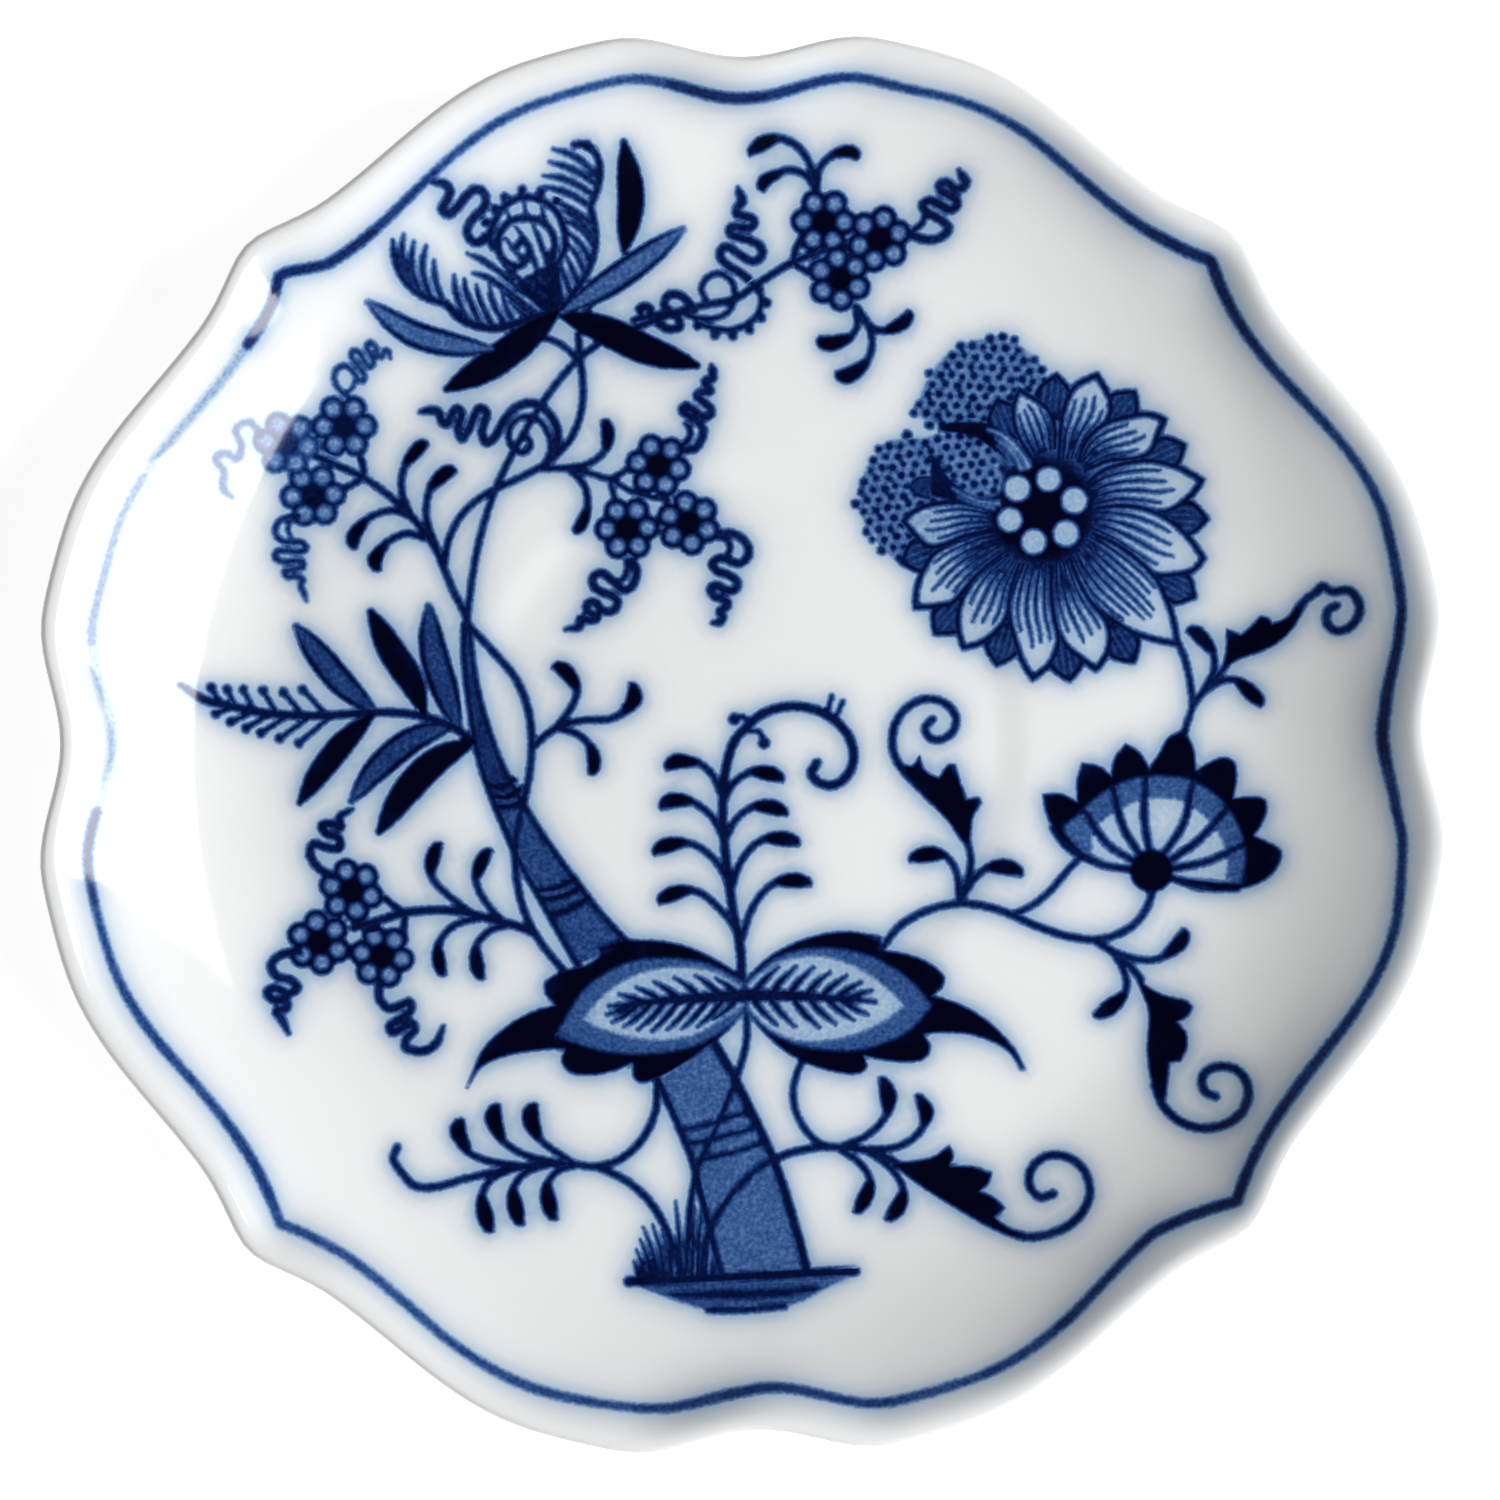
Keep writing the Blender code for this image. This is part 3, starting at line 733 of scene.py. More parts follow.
def sepal(eye, tip):
    """A blunt dark leaf that shows between two petals, with lighter streaks."""
    width, length, shoulder, shoulder_share = 4.4, 5, 1.6, 0.72
    streak_start, streak_end, streak_width, streak_tone = 1.2, 0.9, 0.32, 0.56
    leaf_tone, edge_width, edge_tone = 0.88, 0.66, 0.9
    eye, tip = np.array(eye), np.array(tip)
    along = (tip - eye) / np.hypot(*(tip - eye))
    across = np.array([-along[1], along[0]]) * width / 2
    neck = tip - along * length
    sides = []
    for way in (-1, 1):
        corner = tip + across * way * shoulder_share - along * shoulder
        sides.append(curve([neck + across * way, corner, tip]))
    painting.append(Patch(np.vstack([sides[0], sides[1][::-1][1:]]), leaf_tone, True))
    for share in (-0.48, -0.16, 0.16, 0.48):
        ends = [neck + along * streak_start + across * share, tip - along * streak_end + across * share]
        line(ends, streak_width, start=0.5, tone=streak_tone, lifts=True)
    edged(sides, edge_width, edge_tone)


def shade(x, y, radius, tone, soft):
    """A round wash that fades out over a wide edge."""
    painting.append(Disc((x, y), radius, tone, False, soft))


def curled_petals():
    """Two dark petals that curl over the lower fruit, with lighter streaks towards the flower's eye."""
    patch(*joined([(22.3, 35), (25, 35.1), (27.2, 34.8), (29.2, 33.5), (30.8, 31.9), (31.6, 30.3)],
                  [(30.2, 29.8), (29.2, 29.6)],
                  [(28.5, 30.8), (27.1, 32.1), (25.4, 33.2), (23.4, 33.8), (21.3, 34)], [(21.2, 34.4)]),
          tone=0.92)
    patch(*joined([(21.2, 31), (21.9, 29.7), (22.9, 28.5), (24.4, 27.4), (26, 26.9), (27.9, 26.8)],
                  [(27.9, 25.6)], [(25.4, 25.6), (22.8, 26.4), (20.3, 27)],
                  [(20.2, 28.6), (20.4, 30), (20.2, 31.8)]), tone=0.9)
    patch(*joined([(18.9, 28.9), (18.2, 28.1)], [(18.8, 27.2), (20.2, 26.8)], [(20.4, 29)]),
          tone=0.76, lifts=True)
    line([(20.4, 29), (19, 28.9), (18.2, 28.1), (18.8, 27.2), (20.2, 26.8)], 0.5, tone=0.86)
    for width, tone, *points in ((0.5, HAZE, (26.6, 34.2), (28.3, 33.5), (29.7, 32.2), (30.6, 31.1),
                                  (31, 30.2)),
                                 (0.38, 0.36, (27.4, 33.2), (28.7, 32.3), (29.7, 31.1), (30.2, 30)),
                                 (0.26, MID, (27.7, 32.4), (28.6, 31.5), (29.2, 30.4)),
                                 (0.38, 0.4, (22.8, 27.8), (24.6, 26.8), (26.2, 26.3), (27.8, 26.2)),
                                 (0.26, MID, (23.4, 26.9), (25.2, 26.1), (27.2, 25.7))):
        line(points, width, start=0.3, end=1.4, tone=tone, lifts=True)


def aster_petals():
    """The eleven petals, clockwise from the top left."""
    petal([(31.2, 31.3), (30.3, 32.8), (29.5, 34.6), (29.4, 36.9)], (30, 38.5),
          [(33.9, 32.3), (33.8, 34.7), (33, 36.5), (31.4, 37.7)])
    petal([(34.3, 31), (34.5, 34.3), (34.9, 36.5), (36, 38.8)], (38.4, 40.1),
          [(36.6, 31.2), (37.8, 33.5), (39.6, 35.2), (39.9, 37.2)])
    petal([(36.4, 30.8), (37.3, 33), (39.1, 34.7), (41.4, 35.5), (44, 35.8)], (45.7, 35.2),
          [(37.2, 29.8), (40, 30.9), (42.5, 31), (44.3, 31.8), (45, 33.6)])
    petal([(37.4, 28.4), (39.1, 29.7), (41.4, 30.5), (44.3, 30.8), (47.3, 30)], (49.8, 28.6),
          [(38.4, 25.7), (40.9, 25.9), (43.4, 25.6), (45.5, 25.2), (46.8, 25.6), (48.6, 27)])
    petal([(38.4, 25.6), (40.7, 25.9), (43.6, 25.6), (46.4, 24.3), (48.6, 22.2)], (50, 20.2),
          [(38.2, 22.9), (40.2, 21.6), (42.7, 19.6), (44.8, 18.4), (46.8, 18.4), (48.9, 18.9)])
    petal([(38, 22.9), (40.2, 21.9), (42.7, 20.2), (44.8, 18.1), (46.1, 15.6), (46.9, 12.9)], (47.2, 10.9),
          [(35.6, 20), (36.4, 17.9), (37.5, 15.9), (39.1, 14.3), (40.7, 13.1), (42.7, 12), (45, 11.3)],
          marks=7)
    petal([(35.6, 20), (36.4, 17.9), (37.7, 15.6), (39.5, 13.4), (39.9, 11.8), (39.5, 9.7)], (38.4, 8.1),
          [(33.7, 19.4), (33.6, 17), (33.8, 14.3), (34.3, 12.2), (35.2, 10.6), (36.8, 9.3)])
    petal([(33.5, 19.4), (33.5, 16.6), (33.8, 13.8), (34.3, 11.3), (33.4, 8.8)], (31.5, 7.1),
          [(30.5, 19.6), (29.4, 17), (28.9, 14.6), (29.4, 11.9), (30.3, 9.2)])
    petal([(30, 19.6), (29.1, 16.8), (28.6, 13.7), (27.4, 12.1), (25.8, 11)], (24, 10.5),
          [(28.6, 20.6), (25.5, 18.3), (24, 16.2), (23.4, 14.2), (23.4, 12.4)])
    petal([(28.4, 20.9), (25.4, 18.4), (23.6, 16.2), (22.8, 15.4), (20.8, 15)], (18.7, 14.9),
          [(28, 23.2), (25.5, 22.8), (22.8, 21.9), (20.8, 20.8), (19.6, 19), (18.9, 16.9)], marks=5)
    petal([(27, 25.4), (23.5, 26.3), (20.1, 26), (18.5, 25.3)], (17.4, 24.3),
          [(27.4, 23.4), (24, 22.6), (21.6, 21.6), (20.1, 21.5), (18.7, 22.8)], wash=0.24)


def aster():
    """The large open flower on the right, with two dotted fruits behind it."""
    eye = (32.4, 25.4)
    dotted_fruit([(19, 35.8), (19.4, 38.4), (20.8, 40.9), (22.5, 42.7), (24.6, 43.8), (26.6, 44.1),
                  (28.8, 43.8), (30.6, 42.9), (32.2, 41.2), (32.4, 38), (27, 34)], rows_along=-4)
    dotted_fruit([(19.5, 33.4), (16.6, 33.2), (14.2, 31.4), (12.8, 28.6), (12.6, 25.8), (13.4, 23.6),
                  (15, 21.4), (16.6, 20.2), (21, 21), (27, 26), (27, 30.5), (25, 33.6)], rows_along=8)
    for tip in ((27.6, 37.4), (34, 40.1), (42.4, 38.2), (47.8, 32.4), (50.3, 24.4), (49, 16), (42.4, 9),
                (35.5, 7), (27.6, 8.7), (20.9, 12.1), (17.3, 19.8)):
        sepal(eye, tip)
    aster_petals()
    shade(*eye, radius=10.0, tone=0.52, soft=14.0)
    shade(*eye, radius=7.3, tone=0.95, soft=4.6)
    dotted_fruit([(21.4, 33.2), (21.8, 30.6), (23.4, 28.6), (25.4, 27.4), (27.6, 27.2), (28.2, 29),
                  (27.4, 31.4), (25, 33)], rows_along=8)
    curled_petals()
    for x, y, radius in ((29.8, 27.8, 1.42), (33.2, 28.8, 1.34), (36, 26.5, 1.42), (35.1, 22.9, 1.42),
                         (31.6, 22, 1.38), (29, 24.4, 1.32)):
        dot(x, y, radius, PALE, lifts=True)
    dot(*eye, 1.95, DARK)


def leaf_fan():
    """A beaded feather and six pointed leaves at the left."""
    lance((-40.2, 3.6), (-43.4, 6.3), (-46, 9.3), (-48.7, 12.8), width=2.9, filling=DEEP)
    lance((-34.8, 3.4), (-36.2, 6.8), (-38.5, 10.4), (-40.6, 14.4), width=3.0)
    lance((-31, 1.6), (-32.6, 6), (-33.9, 10.5), (-34.3, 15), width=3.1, filling=DEEP)
    lance((-40.4, 3.2), (-43.5, 0.2), (-46, -2.9), (-48.3, -6.4), width=2.6)
    lance((-31.6, 2.1), (-36, 0.5), (-39.8, -2.6), (-42.7, -6.2), width=2.9, filling=DEEP)
    lance((-29.4, 0.3), (-33.4, -1.8), (-36.7, -5.1), (-39.7, -9.6), width=3.1)
    line([(-29.4, 0.2), (-31.8, 1.9), (-35, 3), (-38, 3.4), (-41, 3.4), (-45, 3.1), (-49, 3.1), (-53, 3.5),
          (-56, 4.2), (-58.5, 4.8), (-61, 6.4)], 0.9, end=0.5)
    upper_tips = ((-57.8, 6.1), (-56.1, 5.9), (-54.4, 5.9), (-52.3, 5.8), (-50.1, 5.6), (-48, 5.9))
    upper_roots = ((-56.8, 4.4), (-55.2, 4), (-53.2, 3.6), (-50.8, 3.3), (-48, 3.2), (-45.5, 3.2))
    lower_tips = ((-57.3, 3.3), (-55.7, 2.4), (-54.1, 1.7), (-52.5, 1.2), (-50.5, 0.6), (-48.4, 0.1))
    lower_roots = ((-55.5, 4), (-53, 3.6), (-51.5, 3.3), (-49.5, 3.1), (-47, 3.1), (-44.8, 3.1))
    for tip, root in zip(upper_tips + lower_tips, upper_roots + lower_roots):
        line([tip, root], 0.55)
        dot(*tip, 0.5)


def trunk():
    """The jointed stem that curves down the left side, with a vine round it and a small spray."""
    left = [(-30.5, 13), (-30.4, 9), (-29.8, 4), (-29, -1), (-27.6, -5.4), (-26, -9.3), (-24.5, -12.8),
            (-22.3, -16.6), (-20.2, -20.4), (-18, -24.2)]
    right = [(-29.9, 12.6), (-29.3, 7), (-28.1, 2.2), (-26.3, -2.6), (-24.4, -6), (-21.7, -10.4),
             (-18.2, -15.2), (-15.4, -18.8), (-12.6, -21.8)]
    patch(left, right[::-1], tone=0.62)
    patch(left[:5], right[4::-1], tone=0.74)
    for edge in (left, right):
        line(edge, 0.8, start=0.8)
    for ring in (((-27.9, -4.6), (-26.4, -4.8), (-25, -3.9)), ((-27.4, -5.7), (-25.9, -5.8), (-24.4, -4.9)),
                 ((-27, -6.8), (-25.3, -6.8), (-23.8, -6)), ((-22.4, -16), (-20.4, -15.7), (-18.4, -14.7)),
                 ((-21.9, -17), (-19.8, -16.6), (-17.7, -15.7)),
                 ((-21, -18.6), (-19, -18), (-16.9, -16.8))):
        line(ring, 0.74, tone=0.9)
    line([(-29.9, 12.8), (-27.2, 9.9), (-24.8, 7), (-23.5, 3.7), (-23.1, 0.2), (-23.4, -3.5), (-24.2, -7),
          (-24.9, -10.8), (-24.7, -15), (-23.7, -18.8), (-22, -21.8), (-19.6, -24.8)], 0.8)
    line([(-23, -0.3), (-21.4, 1.1), (-19.8, 2.1)], 0.8)
    commas(
        (1.6, (-20.6, 1.6), (-18.9, 3.8), (-18.2, 5.5), (-18.5, 7.1), (-19.6, 8.2), (-21, 8.2)),
        (1.7, (-20, 2.1), (-17.2, 2.6), (-14.6, 2.7), (-13, 3.5), (-11.7, 4.9), (-12.6, 6.7)),
        (1.4, (-20.2, 1.7), (-18.2, 1.1), (-17, 0.1), (-16.3, -1.1), (-16.3, -2.3), (-17, -3.3)),
    )


def lower_left_spray():
    """Three florets at the lower left, with comma leaves along their stalk."""
    line([(-42.4, -20), (-39.6, -19.2), (-36.8, -18.4), (-33.5, -18.1), (-30.6, -18.3), (-27.6, -19.1),
          (-24.8, -19.8), (-22.8, -20.6)], 0.9)
    line([(-39.1, -16.8), (-38, -17.7), (-36.8, -18.4)])
    line([(-36.8, -18.4), (-37, -19.8), (-36.9, -21.4)])
    florets((-42.7, -16, 105), (-46.2, -21.6, 98), (-39.4, -23.1, 111))
    commas(
        (1.5, (-30, -18.2), (-32.3, -16.4), (-33.8, -14.8), (-34.2, -13.3), (-33.8, -11.9), (-32.7, -10.9)),
        (1.5, (-26.4, -19.3), (-28.2, -17.1), (-29.1, -15.3), (-29.1, -13.8), (-28.5, -12.5), (-27.2, -11.7)),
        (1.4, (-28.9, -19), (-31.2, -19.6), (-32.8, -21), (-33.4, -22.6), (-33.2, -24), (-32.3, -25.2)),
        (1.5, (-25.6, -19.7), (-27.6, -20.3), (-28.9, -21.6), (-29.3, -23), (-29.1, -24.4), (-28.1, -25.6)),
    )
    tendril((-44.8, -14.4), (-46.4, -13.4), (-47.2, -11.9), (-46.8, -10.9), (-45.3, -11.3), (-44, -11.3),
            (-44.1, -10.3), (-45.5, -9.7), (-45.9, -8.9), (-45, -8.7), (-43.9, -9.1), (-44, -8),
            (-42.6, -7.1))
    tendril((-48.4, -22.6), (-50.2, -22.9), (-51.3, -24), (-50.8, -25.2), (-49.2, -25.7), (-48.5, -26.5),
            (-49.4, -27.1), (-51, -26.5), (-51.7, -27), (-51, -27.8), (-49.7, -28), (-49.6, -28.7),
            (-50.7, -29), (-50.1, -29.9), (-49.4, -31.4))
    tendril((-39.7, -26.2), (-39.6, -27.8), (-38.6, -28.8), (-37.4, -28.5), (-36.4, -28.1), (-36.2, -28.9),
            (-37.3, -29.9), (-38.5, -30.7), (-38.3, -31.4), (-37.1, -30.9), (-36.1, -30.4), (-35.8, -31.1),
            (-36.7, -32.1), (-36.8, -33), (-35.8, -33.4), (-34.4, -33.3), (-33.4, -32.5), (-32.7, -30.8))


def fern():
    """The crooked frond in the middle."""
    line([(-0.2, -25.5), (-0.4, -22), (-1.2, -18), (-2, -12), (-2.3, -7), (-2, -3), (-1, 0.3), (0.4, 1.9),
          (1.6, 3), (3.4, 3.8), (5.5, 4.1), (7.9, 3.7), (9.9, 2.6), (11.4, 0.9), (12, -1.3), (11.4, -3.3),
          (9.8, -4.5), (8.2, -4.2), (7.4, -3.2), (8, -2.1)], 0.96)
    commas(
        (1.6, (-2.4, -5.6), (-3.4, -3.4), (-4.7, -2.2), (-6.1, -1.8), (-7.5, -1.8), (-8.4, -3)),
        (1.6, (-2.2, -10.2), (-3.5, -7.9), (-5.1, -6.6), (-6.6, -6), (-8.1, -6.1), (-9, -7.3)),
        (1.6, (-1.6, -15), (-3.3, -12.5), (-5.2, -11.1), (-7, -10.7), (-8.7, -11), (-9.7, -12.3)),
        (1.6, (-0.8, -20.2), (-2.5, -18.1), (-4.5, -16.4), (-6.3, -15.9), (-8.1, -16.3), (-9.2, -17.6)),
        (1.6, (-2.1, -6.1), (-1.2, -4.4), (0.2, -3.3), (1.6, -2.9), (3, -3.1), (4.3, -4.3)),
        (1.6, (-1.9, -10.2), (-0.8, -8.2), (0.7, -7), (2, -6.6), (3.4, -6.8), (4.7, -8)),
        (1.6, (-1.3, -15.6), (-0.4, -13), (1.1, -11.1), (2.8, -10.2), (4.6, -10.2), (6.1, -11.2)),
        (1.6, (-0.3, -21.6), (0.8, -18.2), (2.3, -16), (4, -14.9), (5.7, -14.7), (7.4, -15.6)),
    )
    line([(9.1, 3.2), (9.6, 5.2)], 0.5)
    line([(10, 2.7), (10.8, 4.6)], 0.5)
    line([(0.4, 1.8), (0.1, 2.9), (-0.9, 2.9)], 0.55)
    line([(0.5, 1.4), (1.7, 1.3), (2.2, 0.3)], 0.55)
    beads((-1, 2.7), (2.2, 0.1), radius=0.62)


def big_leaf(dark, ring, inner, rib, veins):
    """A broad leaf with a ragged dark edge, a mid-blue band and a pale, veined middle."""
    ring_tone, vein_tone, vein_width = 0.56, 0.88, 0.66
    rib_rise, vein_lean, vein_bow, lowest_foot = 0.2, 0.2, 0.25, 0.03
    patch(*joined(*dark))
    patch(*joined(*ring), tone=ring_tone, lifts=True)
    patch(*joined(*inner), tone=PALE, lifts=True)
    root, tip = np.array(rib[0]), np.array(rib[1])
    line([root, (root + tip) / 2 + (0, rib_rise), tip], 1.0, start=1.5, end=0.4, tone=LINE)
    for end in veins:
        end = np.array(end)
        back = abs(end[0] - root[0]) / abs(tip[0] - root[0]) - vein_lean
        foot = root + (tip - root) * max(back, lowest_foot)
        bend = (foot + end) / 2 + np.array([vein_bow * np.sign(root[0] - tip[0]), 0])
        line([end, bend, foot], vein_width, start=0.35, tone=vein_tone)


def leaf_pair():
    """The two broad leaves that spread from the top of the thick stem."""
    big_leaf(
        dark=[[(-3, -23.6), (-7, -21.9), (-12, -21.4), (-16, -21.9)], [(-15.6, -23.1)],
              [(-17, -24.1), (-19.4, -24.7), (-21.6, -26), (-21.6, -27.2)], [(-20.4, -28.5)],
              [(-22.5, -29), (-25.5, -30.6), (-28.3, -33.2), (-30.2, -37.6)],
              [(-28.6, -35.2), (-26, -34), (-22, -33.3), (-19.4, -33.2)],
              [(-19.8, -34.6), (-18.8, -35.8), (-16, -36), (-13.8, -35.5)], [(-12, -34.7)],
              [(-12, -36.2), (-11.2, -36.9), (-8.6, -36), (-5, -33.8), (-1.5, -31), (0.2, -29)],
              [(0.2, -25.6)]],
        ring=[[(-4, -24), (-9, -23.4), (-13.4, -24.2), (-17.2, -26.7), (-20.5, -31.8)],
              [(-15.5, -33.4), (-10, -33.7), (-5, -32.7), (-1, -30.2), (0, -29)], [(0, -25.9)]],
        inner=[[(-3, -25), (-7, -24.4), (-11, -25), (-14.6, -26.9), (-17.5, -30)],
               [(-15.4, -31), (-11, -32.1), (-6, -31.8), (-2.4, -30), (0, -28.4)], [(0, -26.8)]],
        rib=((0, -27.5), (-14.6, -28.6)),
        veins=[(-3, -25.6), (-5.2, -25.3), (-7.5, -25.5), (-9.7, -26), (-11.7, -26.6), (-13.5, -27.3),
               (-3.2, -30), (-5, -30.8), (-6.7, -31), (-8.3, -31.1), (-10, -31.3), (-11.5, -31.1),
               (-13, -30.8), (-14.3, -30.3), (-14.9, -29.5)])
    big_leaf(
        dark=[[(3, -23.1), (7, -21.2), (11, -20.5), (15, -21)], [(14.7, -22.5)],
              [(17, -22.8), (20, -23.8), (21.8, -25.4), (21.6, -26.6)], [(20.4, -27.5)],
              [(23, -28.2), (26, -29.8), (28.6, -32.2), (30.6, -35.4)],
              [(28.4, -33.1), (25, -31.7), (21.6, -31.4), (19.5, -31.6)],
              [(20.3, -33), (19.6, -34.3), (17, -34.6), (14.4, -34.3)], [(13, -33.9)],
              [(13.4, -35.2), (12.4, -35.9), (8.4, -35.3), (5, -33.8), (2, -31.2), (0.2, -29)],
              [(0.2, -25.6)]],
        ring=[[(4, -23.2), (9, -22.3), (14, -23.3), (18, -25.7), (20.5, -28.5)],
              [(18, -31.2), (13, -33.2), (8, -33.2), (3.5, -31.8), (0.4, -29.2)], [(0.4, -25.8)]],
        inner=[[(2.4, -24.7), (4.8, -23.6), (8, -23.2), (12.4, -24.5), (15.6, -26.7), (17.4, -28.5)],
               [(15, -30.3), (11, -31.9), (6.5, -32.3), (3.2, -31.2), (0.6, -28.8)], [(0.6, -26.3)]],
        rib=((0, -27.4), (14.3, -28.1)),
        veins=[(3.8, -24.3), (5.7, -24.3), (7.6, -24.4), (9.4, -24.9), (11.2, -25.3), (12.8, -26),
               (13.9, -26.9), (3.6, -30.6), (5.6, -30.8), (8.2, -30.9), (10, -30.5), (12, -30.1),
               (13.5, -29.5)])
    line([(28.4, -32.4), (29.5, -33.7), (30.3, -35.2)], 0.6)


def fan_flower():
    """The half-round flower at the right, seen from the side, with its stalk."""
    patch(*joined([(34.2, -9.9), (33, -7.6), (32.6, -5.5)], [(34.6, -5.5), (36.4, -6.4)],
                  [(36.3, -4.2), (36.9, -2.1)], [(38.8, -2.5), (40.1, -3.6)], [(40.3, -1.8), (41.6, 0)],
                  [(43.1, -1), (44.2, -2.8)], [(45.2, -1.2), (46.2, 0.6), (47.9, 1.5)],
                  [(48.9, -0.4), (49.2, -3)],
                  [(50.6, -2.1), (52.3, -1.5), (53.3, -2), (53.6, -3.6), (53.2, -6)],
                  [(54.8, -5.8), (56.5, -6), (56.8, -7), (56.3, -8.6), (55.4, -10)],
                  [(56.9, -10.7), (58.2, -11.6), (58.2, -12.6), (57, -14.4), (54.6, -15.6), (51.5, -15.9)],
                  [(46, -14.6)], [(42.5, -13.8)], [(39.5, -13.4), (36.8, -12.3)]))
    patch(*joined([(34.9, -9.2), (36.2, -8), (38, -6.2), (40.6, -4.5), (44, -3.6), (48, -3.8), (51.3, -5.6),
                   (53.6, -8.5), (54.5, -12), (54, -15.2)], [(46, -14.4)], [(42.5, -13.6)],
                  [(39.5, -13), (36.8, -11.7)]), tone=0.54, lifts=True)
    patch(*joined([(38.2, -9.6), (41, -7.2), (44, -6.1), (47.3, -6.2), (49.8, -7.7), (51.8, -10.2),
                   (52.5, -12.6), (52.3, -15)], [(46, -14.2)], [(42.5, -13.4)], [(39.8, -12.8), (38, -12)]),
          tone=PALE * 0.6, lifts=True)
    for rib in (((42.5, -13.7), (39.5, -13.3), (36.8, -12.3)), ((42.7, -12.9), (39.6, -10.9), (37, -7.2)),
                ((43.2, -12.2), (41.3, -9), (40.2, -4.6)), ((44.2, -11.8), (43.6, -8), (43.8, -3.6)),
                ((45.7, -12), (47.9, -8.6), (48.9, -4)), ((46.4, -12.7), (49.6, -10.4), (52.7, -6.9)),
                ((46.6, -13.6), (50.4, -12.8), (55, -10.6)), ((46.4, -14.5), (49.5, -15.6), (53.6, -15.7))):
        line(rib, 0.8)
    line([(33.8, -9.2), (35, -10.9), (36.8, -12.3)], 0.9)
    dot(44.4, -13.8, 2.3, DARK)
    line([(44.5, -16), (44, -17.6), (42.8, -19.4), (41, -20.6), (38.5, -21.3), (35.5, -21), (32, -19.9),
          (29.4, -18.7), (26.8, -17.8), (23.5, -17.4), (20, -18.2), (17, -19.9), (15, -22.4)], 0.8)
    line([(36.7, -12.3), (35.1, -14), (33.5, -15.9), (31.6, -17.5), (29.4, -18.6)], 0.72)


def scroll_left():
    """The curled leaf to the left of the fan flower, with its stalk and two comma leaves."""
    line([(20.6, 2.7), (19.8, 1.7), (20.4, 0.6), (21.7, 0.5), (22.9, 1.5), (23.1, 3), (22, 4.4), (20, 4.9),
          (18, 4.1), (16.6, 2.3), (16.2, 0), (16.8, -2), (18.4, -4), (20.6, -6.2)], 0.82)
    patch(*joined([(18.4, -2.4), (19.2, -1.2)], [(19.7, -2.8), (21.3, -3.8)],
                  [(21.9, -2.8), (22.4, -2.3), (23, -2.2)], [(23.6, -4.2), (24.2, -6.1)],
                  [(25.6, -5.9), (25.9, -6.4)], [(25, -8), (24.7, -11)],
                  [(24.2, -11), (22.3, -8.4), (20, -6), (17.6, -3.2)], [(17.2, -2.2)]))
    line([(24.4, -10.6), (24.8, -12.8), (24.3, -15.2), (23.5, -17.3)], 0.72)
    commas(
        (1.7, (23.5, -16.8), (23.3, -14.3), (22.4, -12.6), (21, -11.8), (19.6, -11.9), (18.1, -13)),
        (1.7, (23.8, -16.8), (25.3, -14.5), (26.6, -13.5), (28, -13.1), (29.2, -13.4), (30.3, -14.6)),
    )


def scroll_above():
    """The curled leaf above the fan flower, with its stalk and two comma leaves."""
    line([(47.3, 11), (48.1, 9), (48.7, 6), (48.8, 4), (48.3, 2.4), (48, 1.2)], 0.72)
    line([(48.8, 4), (49.8, 5.4), (51, 6.8), (52.5, 8.4)], 0.72)
    commas(
        (1.6, (50.2, 6), (51.2, 8), (51.1, 9.8), (50.4, 11.2), (49.4, 12.1), (48.1, 12.1)),
        (1.6, (50, 5.6), (51.6, 6.7), (53.2, 7), (54.5, 6.4), (55.6, 5.3), (56.1, 3.9)),
    )
    patch(*joined([(52.5, 10.2), (52.5, 12.5)], [(54.1, 11.8)], [(55.2, 12.8), (56.2, 13.8), (57, 13.6)],
                  [(57.3, 13)], [(58.6, 13.5), (60, 14.8)], [(61, 15.2)],
                  [(59.2, 12.2), (57, 10.4), (53.6, 9.1), (52, 8)]))
    line([(59.4, 13.6), (60.6, 15.4), (62, 16.5), (62.4, 17), (63.5, 16.4), (65.1, 16.5), (66.1, 15.4),
          (66.2, 13.9), (65.2, 12.5), (63.9, 12.2), (63, 13.1), (63.1, 14.4), (63.9, 14.9)], 0.86)


def scroll_below():
    """The curled leaf below the fan flower, with its stalk and two comma leaves."""
    line([(38.2, -21.4), (40, -22.5), (41.9, -24), (43.2, -25.6)], 0.8)
    commas(
        (1.6, (40.1, -22.6), (42.6, -23.4), (44.7, -23.5), (46.3, -22.8), (47.7, -21.6), (47.7, -20)),
        (1.7, (40.3, -22.8), (41.4, -24.7), (41.7, -26.3), (41.1, -27.8), (39.8, -29), (37.9, -29.3)),
    )
    patch(*joined([(43.5, -26.1), (45.5, -27.3), (48.2, -28), (48.7, -28.7), (48.2, -29.6), (47, -30.2)],
                  [(48, -31.4), (48.1, -32.9), (47.4, -34.4)], [(46.2, -34.6)],
                  [(46, -36.6), (45.7, -38.6)], [(45.2, -38.8)],
                  [(44.2, -36.2), (43.9, -33), (44.1, -29.2), (43.2, -26.6), (42, -24.2)]))
    line([(44.6, -37), (45.6, -39.4), (47.3, -40.9), (49.4, -41.5), (51.9, -41), (53.8, -39.4),
          (54.4, -37.2), (53.5, -35.4), (51.8, -34.9), (50.2, -35.4), (49.6, -36.6), (50, -37.7),
          (51, -38.1)], 0.86)


def scrolls():
    """The curled leaves on the right: each a ragged dark leaf that ends in a spiral."""
    for scroll in (scroll_left, scroll_above, scroll_below):
        scroll()


